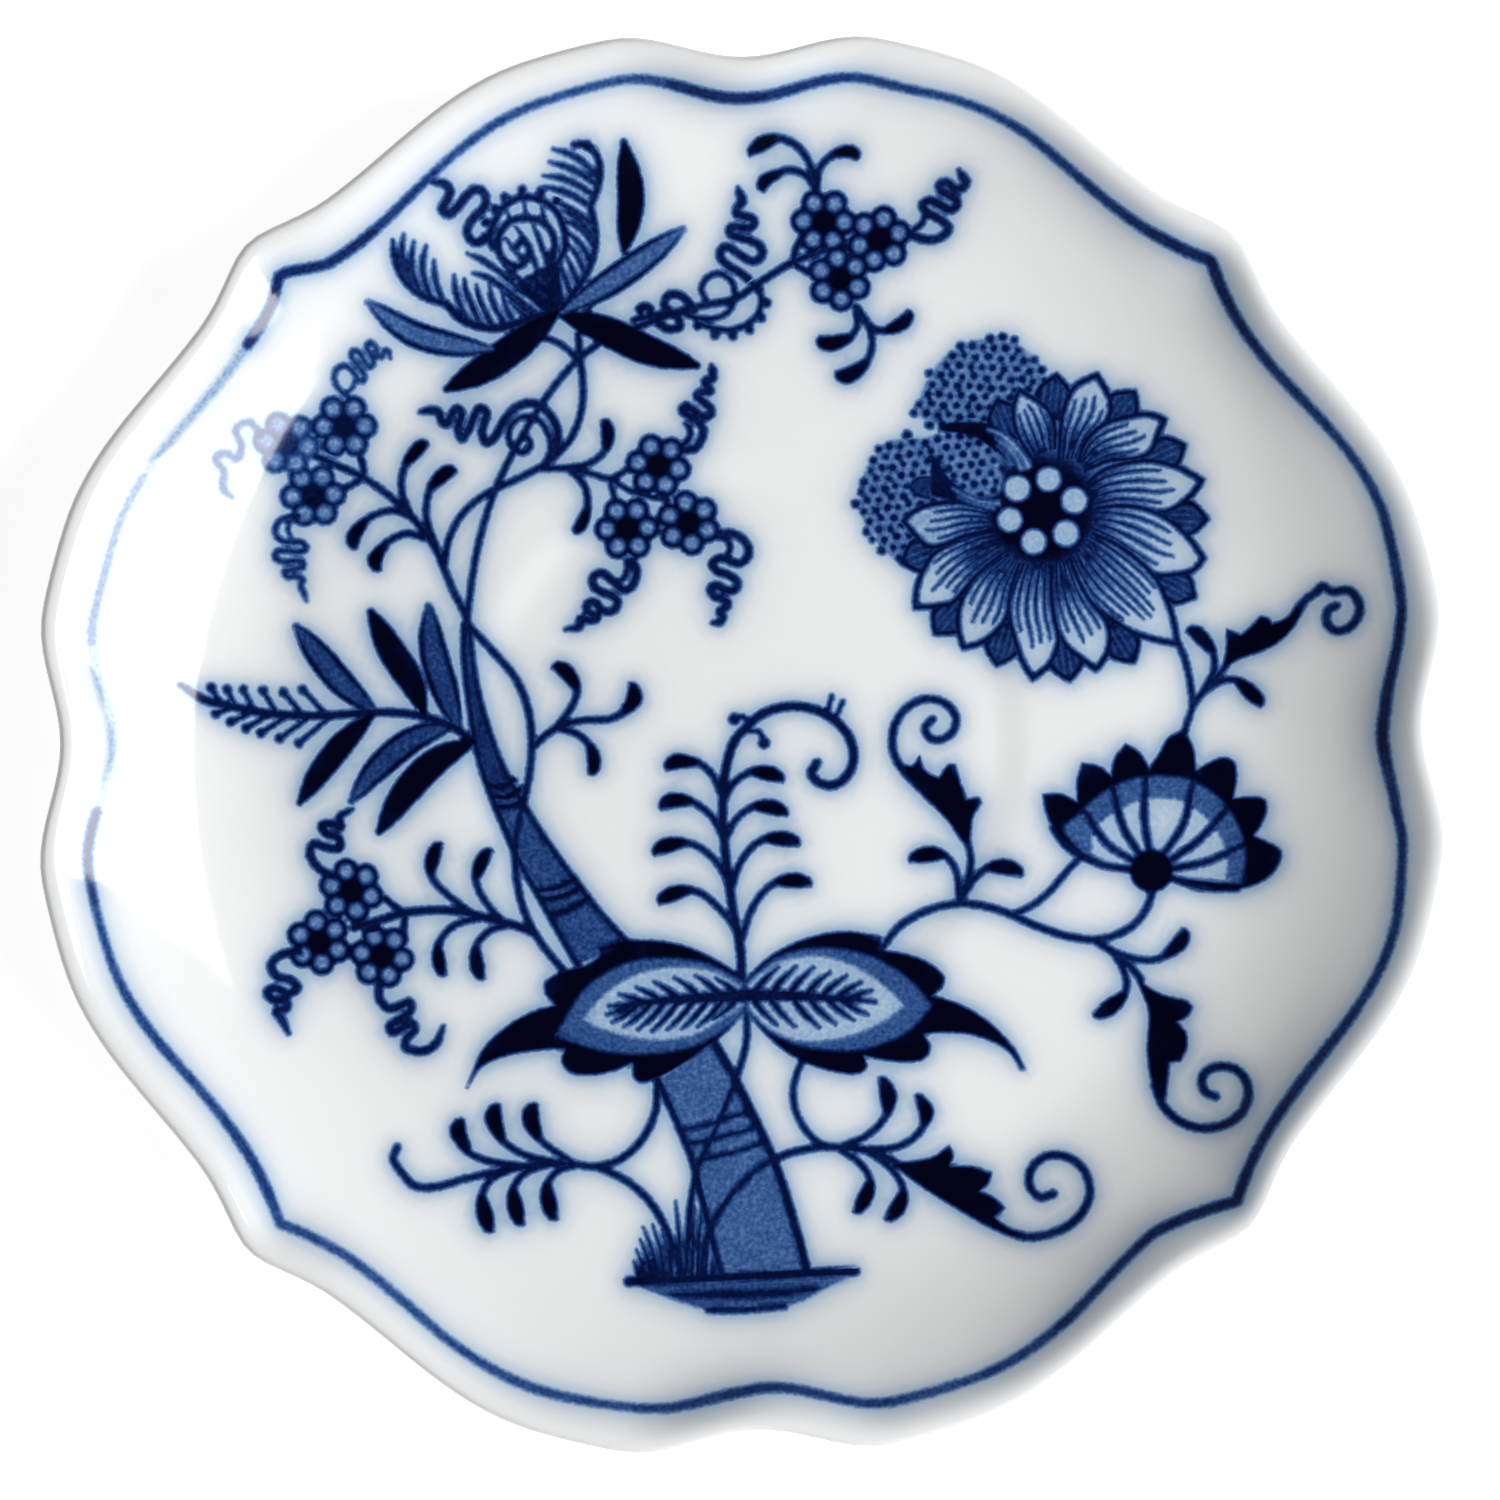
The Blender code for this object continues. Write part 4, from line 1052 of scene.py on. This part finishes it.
def bottom_sprays():
    """Leaf sprays to both sides of the thick stem's foot."""
    line([(-9.4, -37), (-9.6, -40), (-11, -43), (-13.4, -45.2), (-16, -46), (-19, -45.7), (-22.5, -45.8),
          (-26.2, -46.4), (-30.4, -47.3), (-33.6, -48.1), (-35.7, -47.9), (-37, -46.6), (-38, -45),
          (-37.6, -43.8)], 0.8)
    line([(-16, -46), (-13, -47.4), (-10.4, -49.6), (-8.6, -52.4), (-7.4, -55.4), (-6.9, -57.6)], 0.8)
    commas(
        (1.8, (-18.4, -45.7), (-20.9, -44.1), (-22.5, -42.7), (-23.4, -41.3), (-23.4, -40.2), (-22.3, -39.3)),
        (1.8, (-20.4, -45.6), (-23.9, -44.7), (-26.1, -43.3), (-27.2, -41.7), (-27.5, -40.5), (-26.4, -39.3)),
        (1.7, (-24.4, -45.9), (-27.7, -45.4), (-29.8, -44.5), (-30.9, -43.1), (-31.3, -42), (-30.3, -40.9)),
        (1.7, (-18, -45.8), (-20.1, -46.4), (-21.3, -47.7), (-21.6, -49.2), (-21.2, -50.5), (-20.1, -51.7)),
        (1.7, (-21.4, -45.8), (-23.8, -46.7), (-25, -48.2), (-25.2, -49.7), (-24.8, -51), (-23.7, -52.2)),
        (1.7, (-25.2, -46.3), (-27.4, -47.3), (-28.4, -48.9), (-28.5, -50.4), (-28.1, -51.7), (-27, -52.9)),
    )
    line([(6.2, -34.9), (5.5, -37), (5.5, -39.4), (6.5, -41.7), (8.3, -43.5), (10.4, -44)], 0.72)
    line([(-4.6, -57.6), (-4.3, -55), (-3.3, -52), (-1.4, -49.2), (1, -46.7), (3.2, -45.3), (5.6, -44.4),
          (8.4, -43.9), (11.2, -44), (14.4, -44.5), (17, -45.8)], 0.8)
    commas(
        (1.8, (10.5, -43.9), (13.3, -42.7), (15, -41.2), (15.8, -39.8), (16.1, -38.3), (14.6, -36.3)),
        (1.5, (12.2, -44.1), (16.2, -44), (18.4, -43), (19.6, -41.5), (20.1, -40), (18.5, -38.3)),
        (1.6, (10.5, -44.1), (12.5, -45.5), (13.6, -47), (13.8, -48.5), (13.2, -49.8), (11.8, -50.9)),
        (1.6, (13.8, -44.5), (16, -46.2), (17.2, -47.9), (17.4, -49.4), (16.8, -50.7), (15.2, -51.6)),
    )
    patch(*joined([(18.6, -45.4), (20.8, -44.9), (22.4, -43.7)], [(22.8, -44.9), (22.3, -46)],
                  [(24.8, -46), (27, -46.6)], [(26.6, -47.8), (25.5, -48.7)], [(27, -49.2), (28.4, -50.4)],
                  [(27.2, -51.4)], [(28.6, -52.4), (30.4, -53.1)], [(30.2, -53.8)],
                  [(27, -52.6), (23, -50.4), (19.4, -48.2), (16, -45.6)]))
    line([(28.6, -52.9), (31, -53.4), (34, -52.7), (36.4, -51), (37.5, -48.6), (36.9, -46.2), (34.9, -44.8),
          (32.7, -44.9), (31.2, -46.3), (31.1, -48.1), (32.2, -49.2), (33.6, -48.8)], 0.84)


def stem_foot():
    """The thick stem below the broad leaves, standing with grass on a small mound."""
    left = [(-9.4, -36.6), (-8.6, -38.2), (-7, -41.8), (-5.7, -45), (-4.9, -48), (-3.9, -52), (-2.5, -57.4)]
    right = [(-3.2, -32.6), (-1.2, -36), (0.6, -39.6), (2.6, -43.8), (4.3, -48.2), (5.7, -52.8),
             (6.9, -57.2)]
    patch(left, right[::-1], tone=MID)
    line(left, 0.85)
    line(right, 0.95)
    for ring in (((-6.7, -42), (-3, -41.2), (0.6, -40)), ((-6.1, -43.6), (-2.4, -42.8), (1.5, -41.7)),
                 ((-5.5, -45.4), (-1.6, -44.6), (2.5, -43.4))):
        line(ring, 0.62)
    line([(0.3, -29), (0.3, -32.4), (-0.8, -36.4), (-2, -39.4), (-3.5, -43), (-4.9, -46), (-5.7, -49.6),
          (-6.1, -54), (-6.3, -57.5)], 0.72)
    patch(*joined([(-6, -58), (0, -57.8), (6, -57.5), (12.5, -57.2)],
                  [(9, -59), (5.4, -60.7), (1, -61.3), (-3.6, -61.3), (-8, -60.1), (-12.6, -58.3)]),
          tone=0.58)
    line([(-12.5, -58.3), (-6, -58.1), (0, -57.8), (6, -57.5), (12.1, -57.2)], 1.0)
    line([(-7.8, -59.7), (-3, -59.7), (3, -59.6), (7.8, -59.1)], 0.85, start=0.7, end=0.8)
    line([(-3.8, -61.3), (0, -61.3), (4.4, -60.9)], 0.75)
    ground, blade_bow = -57.8, 0.18
    for root, tip in ((-11.4, (-11.9, -56.2)), (-10.8, (-11.6, -55)), (-10.1, (-11.2, -53.9)),
                      (-9.4, (-10.9, -52.6)), (-8.6, (-9.9, -52.3)), (-7.8, (-8.9, -53)),
                      (-6.8, (-7.4, -49.8)), (-5.6, (-5.3, -50.5)), (-5, (-4.5, -49.6)),
                      (-4.2, (-3.7, -54)), (-3.4, (-3.4, -55.4))):
        bend = ((root + tip[0]) / 2 + (root - tip[0]) * blade_bow, (tip[1] + ground) / 2)
        line([tip, bend, (root, ground)], 0.58, start=0.3, end=1.2)


def paint_pattern():
    """All marks in the order of painting, so that each lies over those before it."""
    for motif in (rim_line, trunk, stem_foot, leaf_fan, middle_spray, left_spray, lower_left_spray,
                  top_spray, bud, aster, fern, bottom_sprays, scrolls, fan_flower, leaf_pair):
        motif()


def ink_at(points):
    """Strength of the blue at points of the plan, painted mark over mark."""
    ink = np.zeros(len(points))
    for mark in painting:
        near = np.nonzero(((points > mark.low) & (points < mark.high)).all(1))[0]
        if not near.size:
            continue
        cover = np.clip(0.5 + mark.depth(points[near]) / mark.soft, 0, 1)
        if mark.lifts:
            ink[near] += (mark.tone - ink[near]) * cover
        else:
            ink[near] = np.maximum(ink[near], mark.tone * cover)
    return ink


def blurred(field, spread):
    """A square field of values smoothed over a spread given in cells."""
    reach = int(3 * spread)
    bell = np.exp(-((np.arange(-reach, reach + 1) / spread) ** 2) / 2)
    for axis in (0, 1):
        field = np.apply_along_axis(np.convolve, axis, field, bell / bell.sum(), "same")
    return field


def stain_at(points):
    """How blue the glaze is near points, where colour has run from the marks around in the firing."""
    cell, close_spread, wide_spread = 0.35, 0.7, 1.9
    contrast, run, wide_share = 1.5, 3.3, 0.6
    side = int(2 * RIM_RADIUS / cell) + 1
    ticks = (np.arange(side) - (side - 1) / 2) * cell
    grid = np.stack(np.meshgrid(ticks, ticks, indexing="ij"), -1).reshape(-1, 2)
    ink = ink_at(grid).reshape(side, side) ** contrast
    close, wide = (blurred(ink, spread / cell) for spread in (close_spread, wide_spread))
    field = run * close + wide_share * (1 - np.exp(-run * wide))
    place = np.clip((points - ticks[0]) / cell, 0, side - 1.001)
    i, j = place.astype(int).T
    u, v = (place - place.astype(int)).T
    near = field[i, j] * (1 - v) + field[i, j + 1] * v
    far = field[i + 1, j] * (1 - v) + field[i + 1, j + 1] * v
    return 1 - np.exp(-near * (1 - u) - far * u)


def grid_points():
    """Evenly spread points of the upper surface, closer together on the lip."""
    multiple = 8
    inner = np.arange(GRID_STEP, LIP_START, GRID_STEP)
    radii = [*inner, *np.arange(LIP_START, LIP_END - LIP_STEP / 2, LIP_STEP)]
    rings = [np.zeros((1, 2))]
    for i, radius in enumerate(radii):
        count = max(round(2 * pi * radius / GRID_STEP / multiple), 1) * multiple
        turns = (np.arange(count) + i % 2 / 2) * 2 * pi / count
        rings.append(plan_points(np.full(count, radius), turns))
    return np.vstack(rings)


def upper_sheet():
    """Plan points and triangles of the upper surface, cut along the edges of all but the wide shades.

    The first RIM_STEPS points are the edge of the sheet, in order.
    """
    turns = np.arange(RIM_STEPS) * 2 * pi / RIM_STEPS
    loops = [plan_points(np.full(RIM_STEPS, LIP_END), turns)]
    for mark in painting:
        if mark.soft == SOFT_EDGE:
            loops += [mark.outline(-SOFT_EDGE / 2), mark.outline(SOFT_EDGE / 2)]
    edges, start = [], 0
    for loop in loops:
        count = len(loop)
        edges += [(start + i, start + (i + 1) % count) for i in range(count)]
        start += count
    points = np.vstack([*loops, grid_points()])
    fill_all, merge_distance = 0, 1e-5
    places, _, faces, sources, _, _ = delaunay_2d_cdt(
        [Vector(point) for point in points], edges, [], fill_all, merge_distance, True)
    places = np.array([tuple(place) for place in places])
    faces = np.array(faces)
    rim = {source: index for index, found in enumerate(sources) for source in found if source < RIM_STEPS}
    order = [rim[i] for i in range(RIM_STEPS)]
    order += sorted(set(range(len(places))) - set(order))
    rank = np.argsort(order)
    centres = places[faces].mean(1)
    faces = rank[faces[turned_radius(centres) < LIP_END]]
    return places[order], faces


def rounded(before, corner, after, radius):
    """Points of an arc that rounds a corner of the profile."""
    steps = 5
    to_before, to_after = (before - corner).normalized(), (after - corner).normalized()
    half = to_before.angle(to_after) / 2
    setback = radius / tan(half)
    middle = corner + (to_before + to_after).normalized() * hypot(setback, radius)
    start = corner + to_before * setback - middle
    turn = start.angle_signed(corner + to_after * setback - middle)
    first = atan2(start.y, start.x)
    angles = [first - turn * i / steps for i in range(steps + 1)]
    return [middle + Vector((cos(angle), sin(angle))) * radius for angle in angles]


def lower_profile():
    """Radius and height from just past the rim's top, round its edge and the foot, to the axis."""
    edge_steps, lip_steps, wall_steps, floor_steps = 10, 6, 16, 8
    edge_radius = RIM_THICKNESS / 2
    turns = [pi / 2 - pi * i / edge_steps for i in range(1, edge_steps)]
    edge = [Vector((LIP_END + edge_radius * cos(t), RIM_HEIGHT - edge_radius + edge_radius * sin(t)))
            for t in turns]
    draft = tan(radians(FOOT_DRAFT))
    root_radius = FOOT_RADIUS + draft * float(lower_height(FOOT_RADIUS))
    outer_root = Vector((root_radius, float(lower_height(root_radius))))
    outer_foot, inner_foot = Vector((FOOT_RADIUS, 0)), Vector((FOOT_RADIUS - FOOT_WIDTH, 0))
    inner_root = Vector((inner_foot.x - draft * FOOT_HEIGHT, FOOT_HEIGHT))
    wall_radii = [*np.linspace(LIP_END, LIP_START, lip_steps + 1)[:-1],
                  *np.linspace(LIP_START, root_radius, wall_steps + 1)[:-1]]
    wall = [Vector((radius, float(lower_height(radius)))) for radius in wall_radii]
    foot = rounded(wall[-1], outer_root, outer_foot, FOOT_ROOT_ROUND)
    foot += rounded(outer_root, outer_foot, inner_foot, FOOT_EDGE_ROUND)
    foot += rounded(outer_foot, inner_foot, inner_root, FOOT_EDGE_ROUND)
    foot += rounded(inner_foot, inner_root, Vector((0, FOOT_HEIGHT)), FOOT_ROOT_ROUND)
    floor_shares = np.linspace(1, 0, floor_steps + 1)[1:-1]
    floor = [Vector((foot[-1].x * share, FOOT_HEIGHT)) for share in floor_shares]
    return np.array([tuple(point) for point in [*edge, *wall, *foot, *floor]])


def upper_normals(points):
    """Unit vectors square to the upper surface, so that its gloss stays smooth across the cuts."""
    step, steepest, sharpness = 0.05, 0.95, 8

    def rise(way):
        return upper_height(turned_radius(points + way)) - upper_height(turned_radius(points - way))

    slopes = np.column_stack([rise(np.array(way)) for way in ((step, 0), (0, step))]) / (2 * step)
    # Eased where the notches are steepest, so that they don't mirror the wall across
    slopes /= (1 + (np.hypot(*slopes.T) / steepest) ** sharpness)[:, None] ** (1 / sharpness)
    normals = np.column_stack([-slopes, np.ones(len(points))])
    return normals / np.linalg.norm(normals, axis=1)[:, None]


def closed_shell(plan, upper_faces):
    """Places and faces of the whole body, and where each ring from the rim's top down starts."""
    upper = np.column_stack([plan, upper_height(turned_radius(plan))])
    turns = np.arange(RIM_STEPS) * 2 * pi / RIM_STEPS
    rings = [np.column_stack([plan_points(np.full(RIM_STEPS, r), turns), np.full(RIM_STEPS, z)])
             for r, z in lower_profile()]
    places = np.vstack([upper, *rings, [[0, 0, FOOT_HEIGHT]]])
    faces = [tuple(face) for face in upper_faces]
    ring_starts = [0, *[len(plan) + i * RIM_STEPS for i in range(len(rings))]]
    for above, below in zip(ring_starts, ring_starts[1:]):
        for i in range(RIM_STEPS):
            j = (i + 1) % RIM_STEPS
            faces.append((above + i, below + i, below + j, above + j))
    axis, last = len(places) - 1, ring_starts[-1]
    faces += [(last + i, axis, last + (i + 1) % RIM_STEPS) for i in range(RIM_STEPS)]
    return places, faces, ring_starts


def smooth_gloss(mesh, plan):
    """Sets the shading normals of the upper surface and leaves the others as they come."""
    normals = np.zeros(len(mesh.vertices) * 3, np.float32)
    mesh.vertex_normals.foreach_get("vector", normals)
    normals = normals.reshape(-1, 3)
    normals[: len(plan)] = upper_normals(plan)
    mesh.normals_split_custom_set_from_vertices(normals.tolist())


def keep_values(mesh, plan, places):
    """Keeps the painting and the worn foot as values on the mesh's vertices."""
    worn_height = FOOT_EDGE_ROUND * 0.6
    plain = np.zeros(len(places) - len(plan))
    values = {
        "cobalt": np.concatenate([ink_at(plan), plain]),
        "stain": np.concatenate([stain_at(plan), plain]),
        "bare_clay": np.where(places[:, 2] < worn_height, 1.0, 0.0),
    }
    for name, column in values.items():
        attribute = mesh.attributes.new(name, "FLOAT", "POINT")
        attribute.data.foreach_set("value", column.astype(np.float32))


def lay_out_map(mesh, places, upper_count, ring_starts):
    """The flat map that colours are baked on: the top as a large disc, the rest in a corner."""
    top_middle, top_radius = 0.5, 0.485
    under_middle, under_radius = 0.09, 0.085
    flat = top_middle + places[:, :2] / RIM_RADIUS * top_radius
    rows = len(ring_starts)
    under = np.zeros((len(places), 2))
    turns = np.arange(RIM_STEPS) * 2 * pi / RIM_STEPS
    round_places = np.column_stack([np.cos(turns), np.sin(turns)])
    for row, start in enumerate(ring_starts):
        under[start : start + RIM_STEPS] = under_middle + round_places * under_radius * (1 - row / rows)
    under[-1] = under_middle
    flat_map = mesh.uv_layers.new(name="OFBake")
    corners = np.zeros(len(mesh.loops), int)
    mesh.loops.foreach_get("vertex_index", corners)
    upper_corners = np.zeros(len(mesh.loops), bool)
    for face in mesh.polygons:
        loops = slice(face.loop_start, face.loop_start + face.loop_total)
        upper_corners[loops] = max(face.vertices) < upper_count
    laid_out = np.where(upper_corners[:, None], flat[corners], under[corners])
    flat_map.data.foreach_set("uv", laid_out.ravel())


def saucer_mesh():
    """The closed mesh with its shading, its painting and its flat map."""
    plan, upper_faces = upper_sheet()
    places, faces, ring_starts = closed_shell(plan, upper_faces)
    mesh = bpy.data.meshes.new("saucer_painted")
    mesh.from_pydata((places * MM).tolist(), [], faces)
    mesh.shade_smooth()
    smooth_gloss(mesh, plan)
    keep_values(mesh, plan, places)
    lay_out_map(mesh, places, len(plan), ring_starts)
    return mesh


def linear(red, green, blue):
    """A colour given in 0 to 255 display values, as the shader takes it."""
    values = []
    for v in (red, green, blue):
        values.append(((v / 255 + 0.055) / 1.055) ** 2.4 if v > 10 else v / 255 / 12.92)
    return (*values, 1.0)


BODY_WHITE = linear(238, 239, 239)
STAINED_WHITE = linear(108, 154, 194)
BARE_CLAY = linear(222, 217, 208)
# The blue at each strength
COBALT = (
    (0.0, BODY_WHITE),
    (0.17, linear(166, 189, 214)),
    (0.34, linear(96, 130, 178)),
    (0.5, linear(58, 93, 150)),
    (0.68, linear(26, 57, 115)),
    (0.85, linear(7, 22, 71)),
    (1.0, linear(2, 3, 25)),
)


class Nodes:
    """Short ways to add and link the nodes of one material."""

    def __init__(self, material):
        material.use_nodes = True
        self.tree = material.node_tree
        self.shader = self.tree.nodes.get("Principled BSDF")

    def add(self, kind, **settings):
        node = self.tree.nodes.new(kind)
        for name, value in settings.items():
            setattr(node, name, value)
        return node

    def put(self, socket, value):
        if isinstance(value, bpy.types.NodeSocket):
            self.tree.links.new(value, socket)
        else:
            socket.default_value = value

    def math(self, operation, *values, clamp=False):
        node = self.add("ShaderNodeMath", operation=operation, use_clamp=clamp)
        for socket, value in zip(node.inputs, values):
            self.put(socket, value)
        return node.outputs[0]

    def mix(self, share, first, second):
        node = self.add("ShaderNodeMix", data_type="RGBA")
        for name, value in (("Factor_Float", share), ("A_Color", first), ("B_Color", second)):
            self.put(next(s for s in node.inputs if s.identifier == name), value)
        return next(s for s in node.outputs if s.identifier == "Result_Color")

    def value(self, attribute):
        return self.add("ShaderNodeAttribute", attribute_name=attribute).outputs["Fac"]

    def noise(self, size, detail=2.0):
        """Cloudy values about 0.5 whose patches are about this many millimetres across."""
        node = self.add("ShaderNodeTexNoise")
        self.put(node.inputs["Vector"], self.add("ShaderNodeTexCoord").outputs["Object"])
        node.inputs["Scale"].default_value = 1 / (size * MM)
        node.inputs["Detail"].default_value = detail
        return node.outputs["Fac"]


def blue_tone(nodes, cobalt, stain):
    """Strength of the blue with its mottling and pooling, fuller in broad strokes than in thin ones."""
    grain_size, grain_strength, grain_detail = 0.5, 0.5, 3.0
    pool_size, pool_strength = 3.5, 0.2
    thin_share, broad_gain = 0.76, 0.3
    # Mottling shows most in half-strong washes, and pooling shifts every tone a little
    washy = nodes.math("MULTIPLY", nodes.math("MULTIPLY", cobalt, nodes.math("SUBTRACT", 1.0, cobalt)), 4.0)
    grain = nodes.math("SUBTRACT", nodes.noise(grain_size, grain_detail), 0.5)
    pools = nodes.math("SUBTRACT", nodes.noise(pool_size), 0.5)
    mottled = nodes.math("MULTIPLY_ADD", nodes.math("MULTIPLY", washy, grain), grain_strength, cobalt)
    pooled = nodes.math("MULTIPLY_ADD", nodes.math("MULTIPLY", cobalt, pools), pool_strength, mottled)
    fullness = nodes.math("MULTIPLY_ADD", stain, broad_gain, thin_share)
    return nodes.math("MULTIPLY", pooled, fullness, clamp=True)


def blue_colour(nodes, tone):
    """The colour of the body under this much blue."""
    ramp = nodes.add("ShaderNodeValToRGB")
    while len(ramp.color_ramp.elements) < len(COBALT):
        ramp.color_ramp.elements.new(0.5)
    for element, (place, colour) in zip(ramp.color_ramp.elements, COBALT):
        element.position, element.color = place, colour
    nodes.put(ramp.inputs["Fac"], tone)
    return ramp.outputs["Color"]


def glazed_porcelain():
    """White body under a clear glaze, with blue that mottles, pools and stains the white around."""
    stain_cut = 3.0
    gloss_size, gloss_spread, glaze_roughness, clay_roughness = 9.0, 0.05, 0.05, 0.5
    wave_size, wave_height, wave_strength = 7.0, 0.1 * MM, 0.25
    material = bpy.data.materials.new("glazed_porcelain")
    nodes = Nodes(material)
    cobalt, stain, clay = (nodes.value(name) for name in ("cobalt", "stain", "bare_clay"))
    blue = blue_colour(nodes, blue_tone(nodes, cobalt, stain))
    open_share = nodes.math("MULTIPLY_ADD", cobalt, -stain_cut, 1.0, clamp=True)
    stained = nodes.mix(nodes.math("MULTIPLY", stain, open_share), blue, STAINED_WHITE)
    nodes.put(nodes.shader.inputs["Base Color"], nodes.mix(clay, stained, BARE_CLAY))
    gloss = nodes.math("MULTIPLY_ADD", nodes.noise(gloss_size), gloss_spread, glaze_roughness)
    nodes.put(nodes.shader.inputs["Roughness"], nodes.math("MULTIPLY_ADD", clay, clay_roughness, gloss))
    nodes.shader.inputs["IOR"].default_value = 1.65
    waves = nodes.add("ShaderNodeBump")
    waves.inputs["Strength"].default_value = wave_strength
    waves.inputs["Distance"].default_value = wave_height
    nodes.put(waves.inputs["Height"], nodes.noise(wave_size))
    nodes.put(nodes.shader.inputs["Normal"], waves.outputs["Normal"])
    return material


def make_saucer():
    paint_pattern()
    mesh = saucer_mesh()
    mesh.materials.append(glazed_porcelain())
    saucer = bpy.data.objects.new("saucer_painted", mesh)
    bpy.context.scene.collection.objects.link(saucer)
    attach(saucer, "root")
    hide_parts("saucer")


def studio_white():
    """White to the camera and in reflections, and plain pale matt paper to the light."""
    paper_grey, glow_strength = 0.8, 0.76
    material = bpy.data.materials.new("studio_white")
    nodes = Nodes(material)
    paper = nodes.add("ShaderNodeBsdfDiffuse")
    paper.inputs["Color"].default_value = (paper_grey, paper_grey, paper_grey, 1.0)
    path = nodes.add("ShaderNodeLightPath")
    seen = nodes.math("MAXIMUM", path.outputs["Is Camera Ray"], path.outputs["Is Glossy Ray"])
    seen = nodes.math("MAXIMUM", seen, path.outputs["Is Transmission Ray"])
    glow = nodes.add("ShaderNodeEmission")
    nodes.put(glow.inputs["Strength"], nodes.math("MULTIPLY", seen, glow_strength))
    both = nodes.add("ShaderNodeAddShader")
    nodes.put(both.inputs[0], paper.outputs[0])
    nodes.put(both.inputs[1], glow.outputs[0])
    nodes.put(nodes.tree.nodes["Material Output"].inputs["Surface"], both.outputs[0])
    return material


def black_paper():
    material = bpy.data.materials.new("black_paper")
    nodes = Nodes(material)
    paper = nodes.add("ShaderNodeBsdfDiffuse")
    paper.inputs["Color"].default_value = (0.02, 0.02, 0.02, 1.0)
    nodes.put(nodes.tree.nodes["Material Output"].inputs["Surface"], paper.outputs[0])
    return material


def stage_sheet(name, corners, material):
    """A flat sheet that belongs to the studio."""
    mesh = bpy.data.meshes.new(name)
    mesh.from_pydata(corners, [], [range(len(corners))])
    mesh.materials.append(material)
    sheet = bpy.data.objects.new(name, mesh)
    bpy.context.scene.collection.objects.link(sheet)


def make_floor():
    reach = 3.0
    corners = [(-reach, -reach, 0), (reach, -reach, 0), (reach, reach, 0), (-reach, reach, 0)]
    stage_sheet("floor", corners, studio_white())


def area_lamp(name, azimuth, elevation, size, energy, colour):
    """A rectangular lamp that looks at the saucer from a direction given in degrees."""
    distance = 0.8
    lamp = bpy.data.lights.new(name, "AREA")
    lamp.shape = "RECTANGLE"
    lamp.size, lamp.size_y = size
    lamp.energy, lamp.color = energy, colour
    holder = bpy.data.objects.new(name, lamp)
    azimuth, elevation = radians(azimuth), radians(elevation)
    aim = Vector((cos(elevation) * cos(azimuth), cos(elevation) * sin(azimuth), sin(elevation)))
    holder.location = aim * distance
    holder.rotation_euler = aim.to_track_quat("Z", "Y").to_euler()
    bpy.context.scene.collection.objects.link(holder)
    return holder


def make_light():
    """One large soft window at the right, a matt card across from it and a pale room."""
    white, warm = (1.0, 1.0, 1.0), (1.0, 0.97, 0.93)
    area_lamp("window", azimuth=-12.5, elevation=39.5, size=(0.6, 0.7), energy=9.75, colour=white)
    card = area_lamp("card", azimuth=215.0, elevation=30.0, size=(0.7, 0.7), energy=0.9, colour=warm)
    card.visible_glossy = False
    # A black flag keeps one corner of the window out of the glaze
    flag_corners = [(0.13, -0.02, 0.85), (0.52, -0.55, 0.4), (0.2, -0.6, 0.85)]
    stage_sheet("flag", flag_corners, black_paper())
    bpy.context.scene.world = make_room()


def make_room():
    """Pale walls under a dim ceiling, which leaves the blue deep where the glaze mirrors it."""
    strength, lost_in_glaze = 0.435, 0.35
    world = bpy.data.worlds.new("room")
    world.use_nodes = True
    tree = world.node_tree
    place = tree.nodes.new("ShaderNodeTexCoord")
    split = tree.nodes.new("ShaderNodeSeparateXYZ")
    shades = tree.nodes.new("ShaderNodeValToRGB")
    tree.links.new(place.outputs["Generated"], split.inputs[0])
    tree.links.new(split.outputs["Z"], shades.inputs["Fac"])
    wall, ceiling = shades.color_ramp.elements
    wall.position, wall.color = 0.15, (0.98, 0.99, 1.0, 1.0)
    ceiling.position, ceiling.color = 0.85, (0.1, 0.1, 0.1, 1.0)
    background = tree.nodes["Background"]
    tree.links.new(shades.outputs["Color"], background.inputs["Color"])
    # The room shows only faintly in the glaze
    path, level = tree.nodes.new("ShaderNodeLightPath"), tree.nodes.new("ShaderNodeMath")
    level.operation = "MULTIPLY_ADD"
    level.inputs[1].default_value = -lost_in_glaze
    level.inputs[2].default_value = strength
    tree.links.new(path.outputs["Is Glossy Ray"], level.inputs[0])
    tree.links.new(level.outputs[0], background.inputs["Strength"])
    return world


def make_camera():
    """Straight above, with the saucer a little left of and above the middle of the picture."""
    image_width, sensor, focal = 1500, 36.0, 108.4
    height = 500 * MM
    right_of_centre, below_centre = 6.5, 6.3
    scale = (height - RIM_HEIGHT * MM) * sensor / focal / image_width
    data = bpy.data.cameras.new("camera")
    data.sensor_width, data.lens = sensor, focal
    data.clip_start, data.clip_end = 0.01, 20.0
    camera = bpy.data.objects.new("camera", data)
    camera.location = (right_of_centre * scale, -below_centre * scale, height)
    bpy.context.scene.collection.objects.link(camera)
    bpy.context.scene.camera = camera


make_saucer()
make_floor()
make_light()
make_camera()
bpy.context.scene.view_settings.view_transform = "Standard"
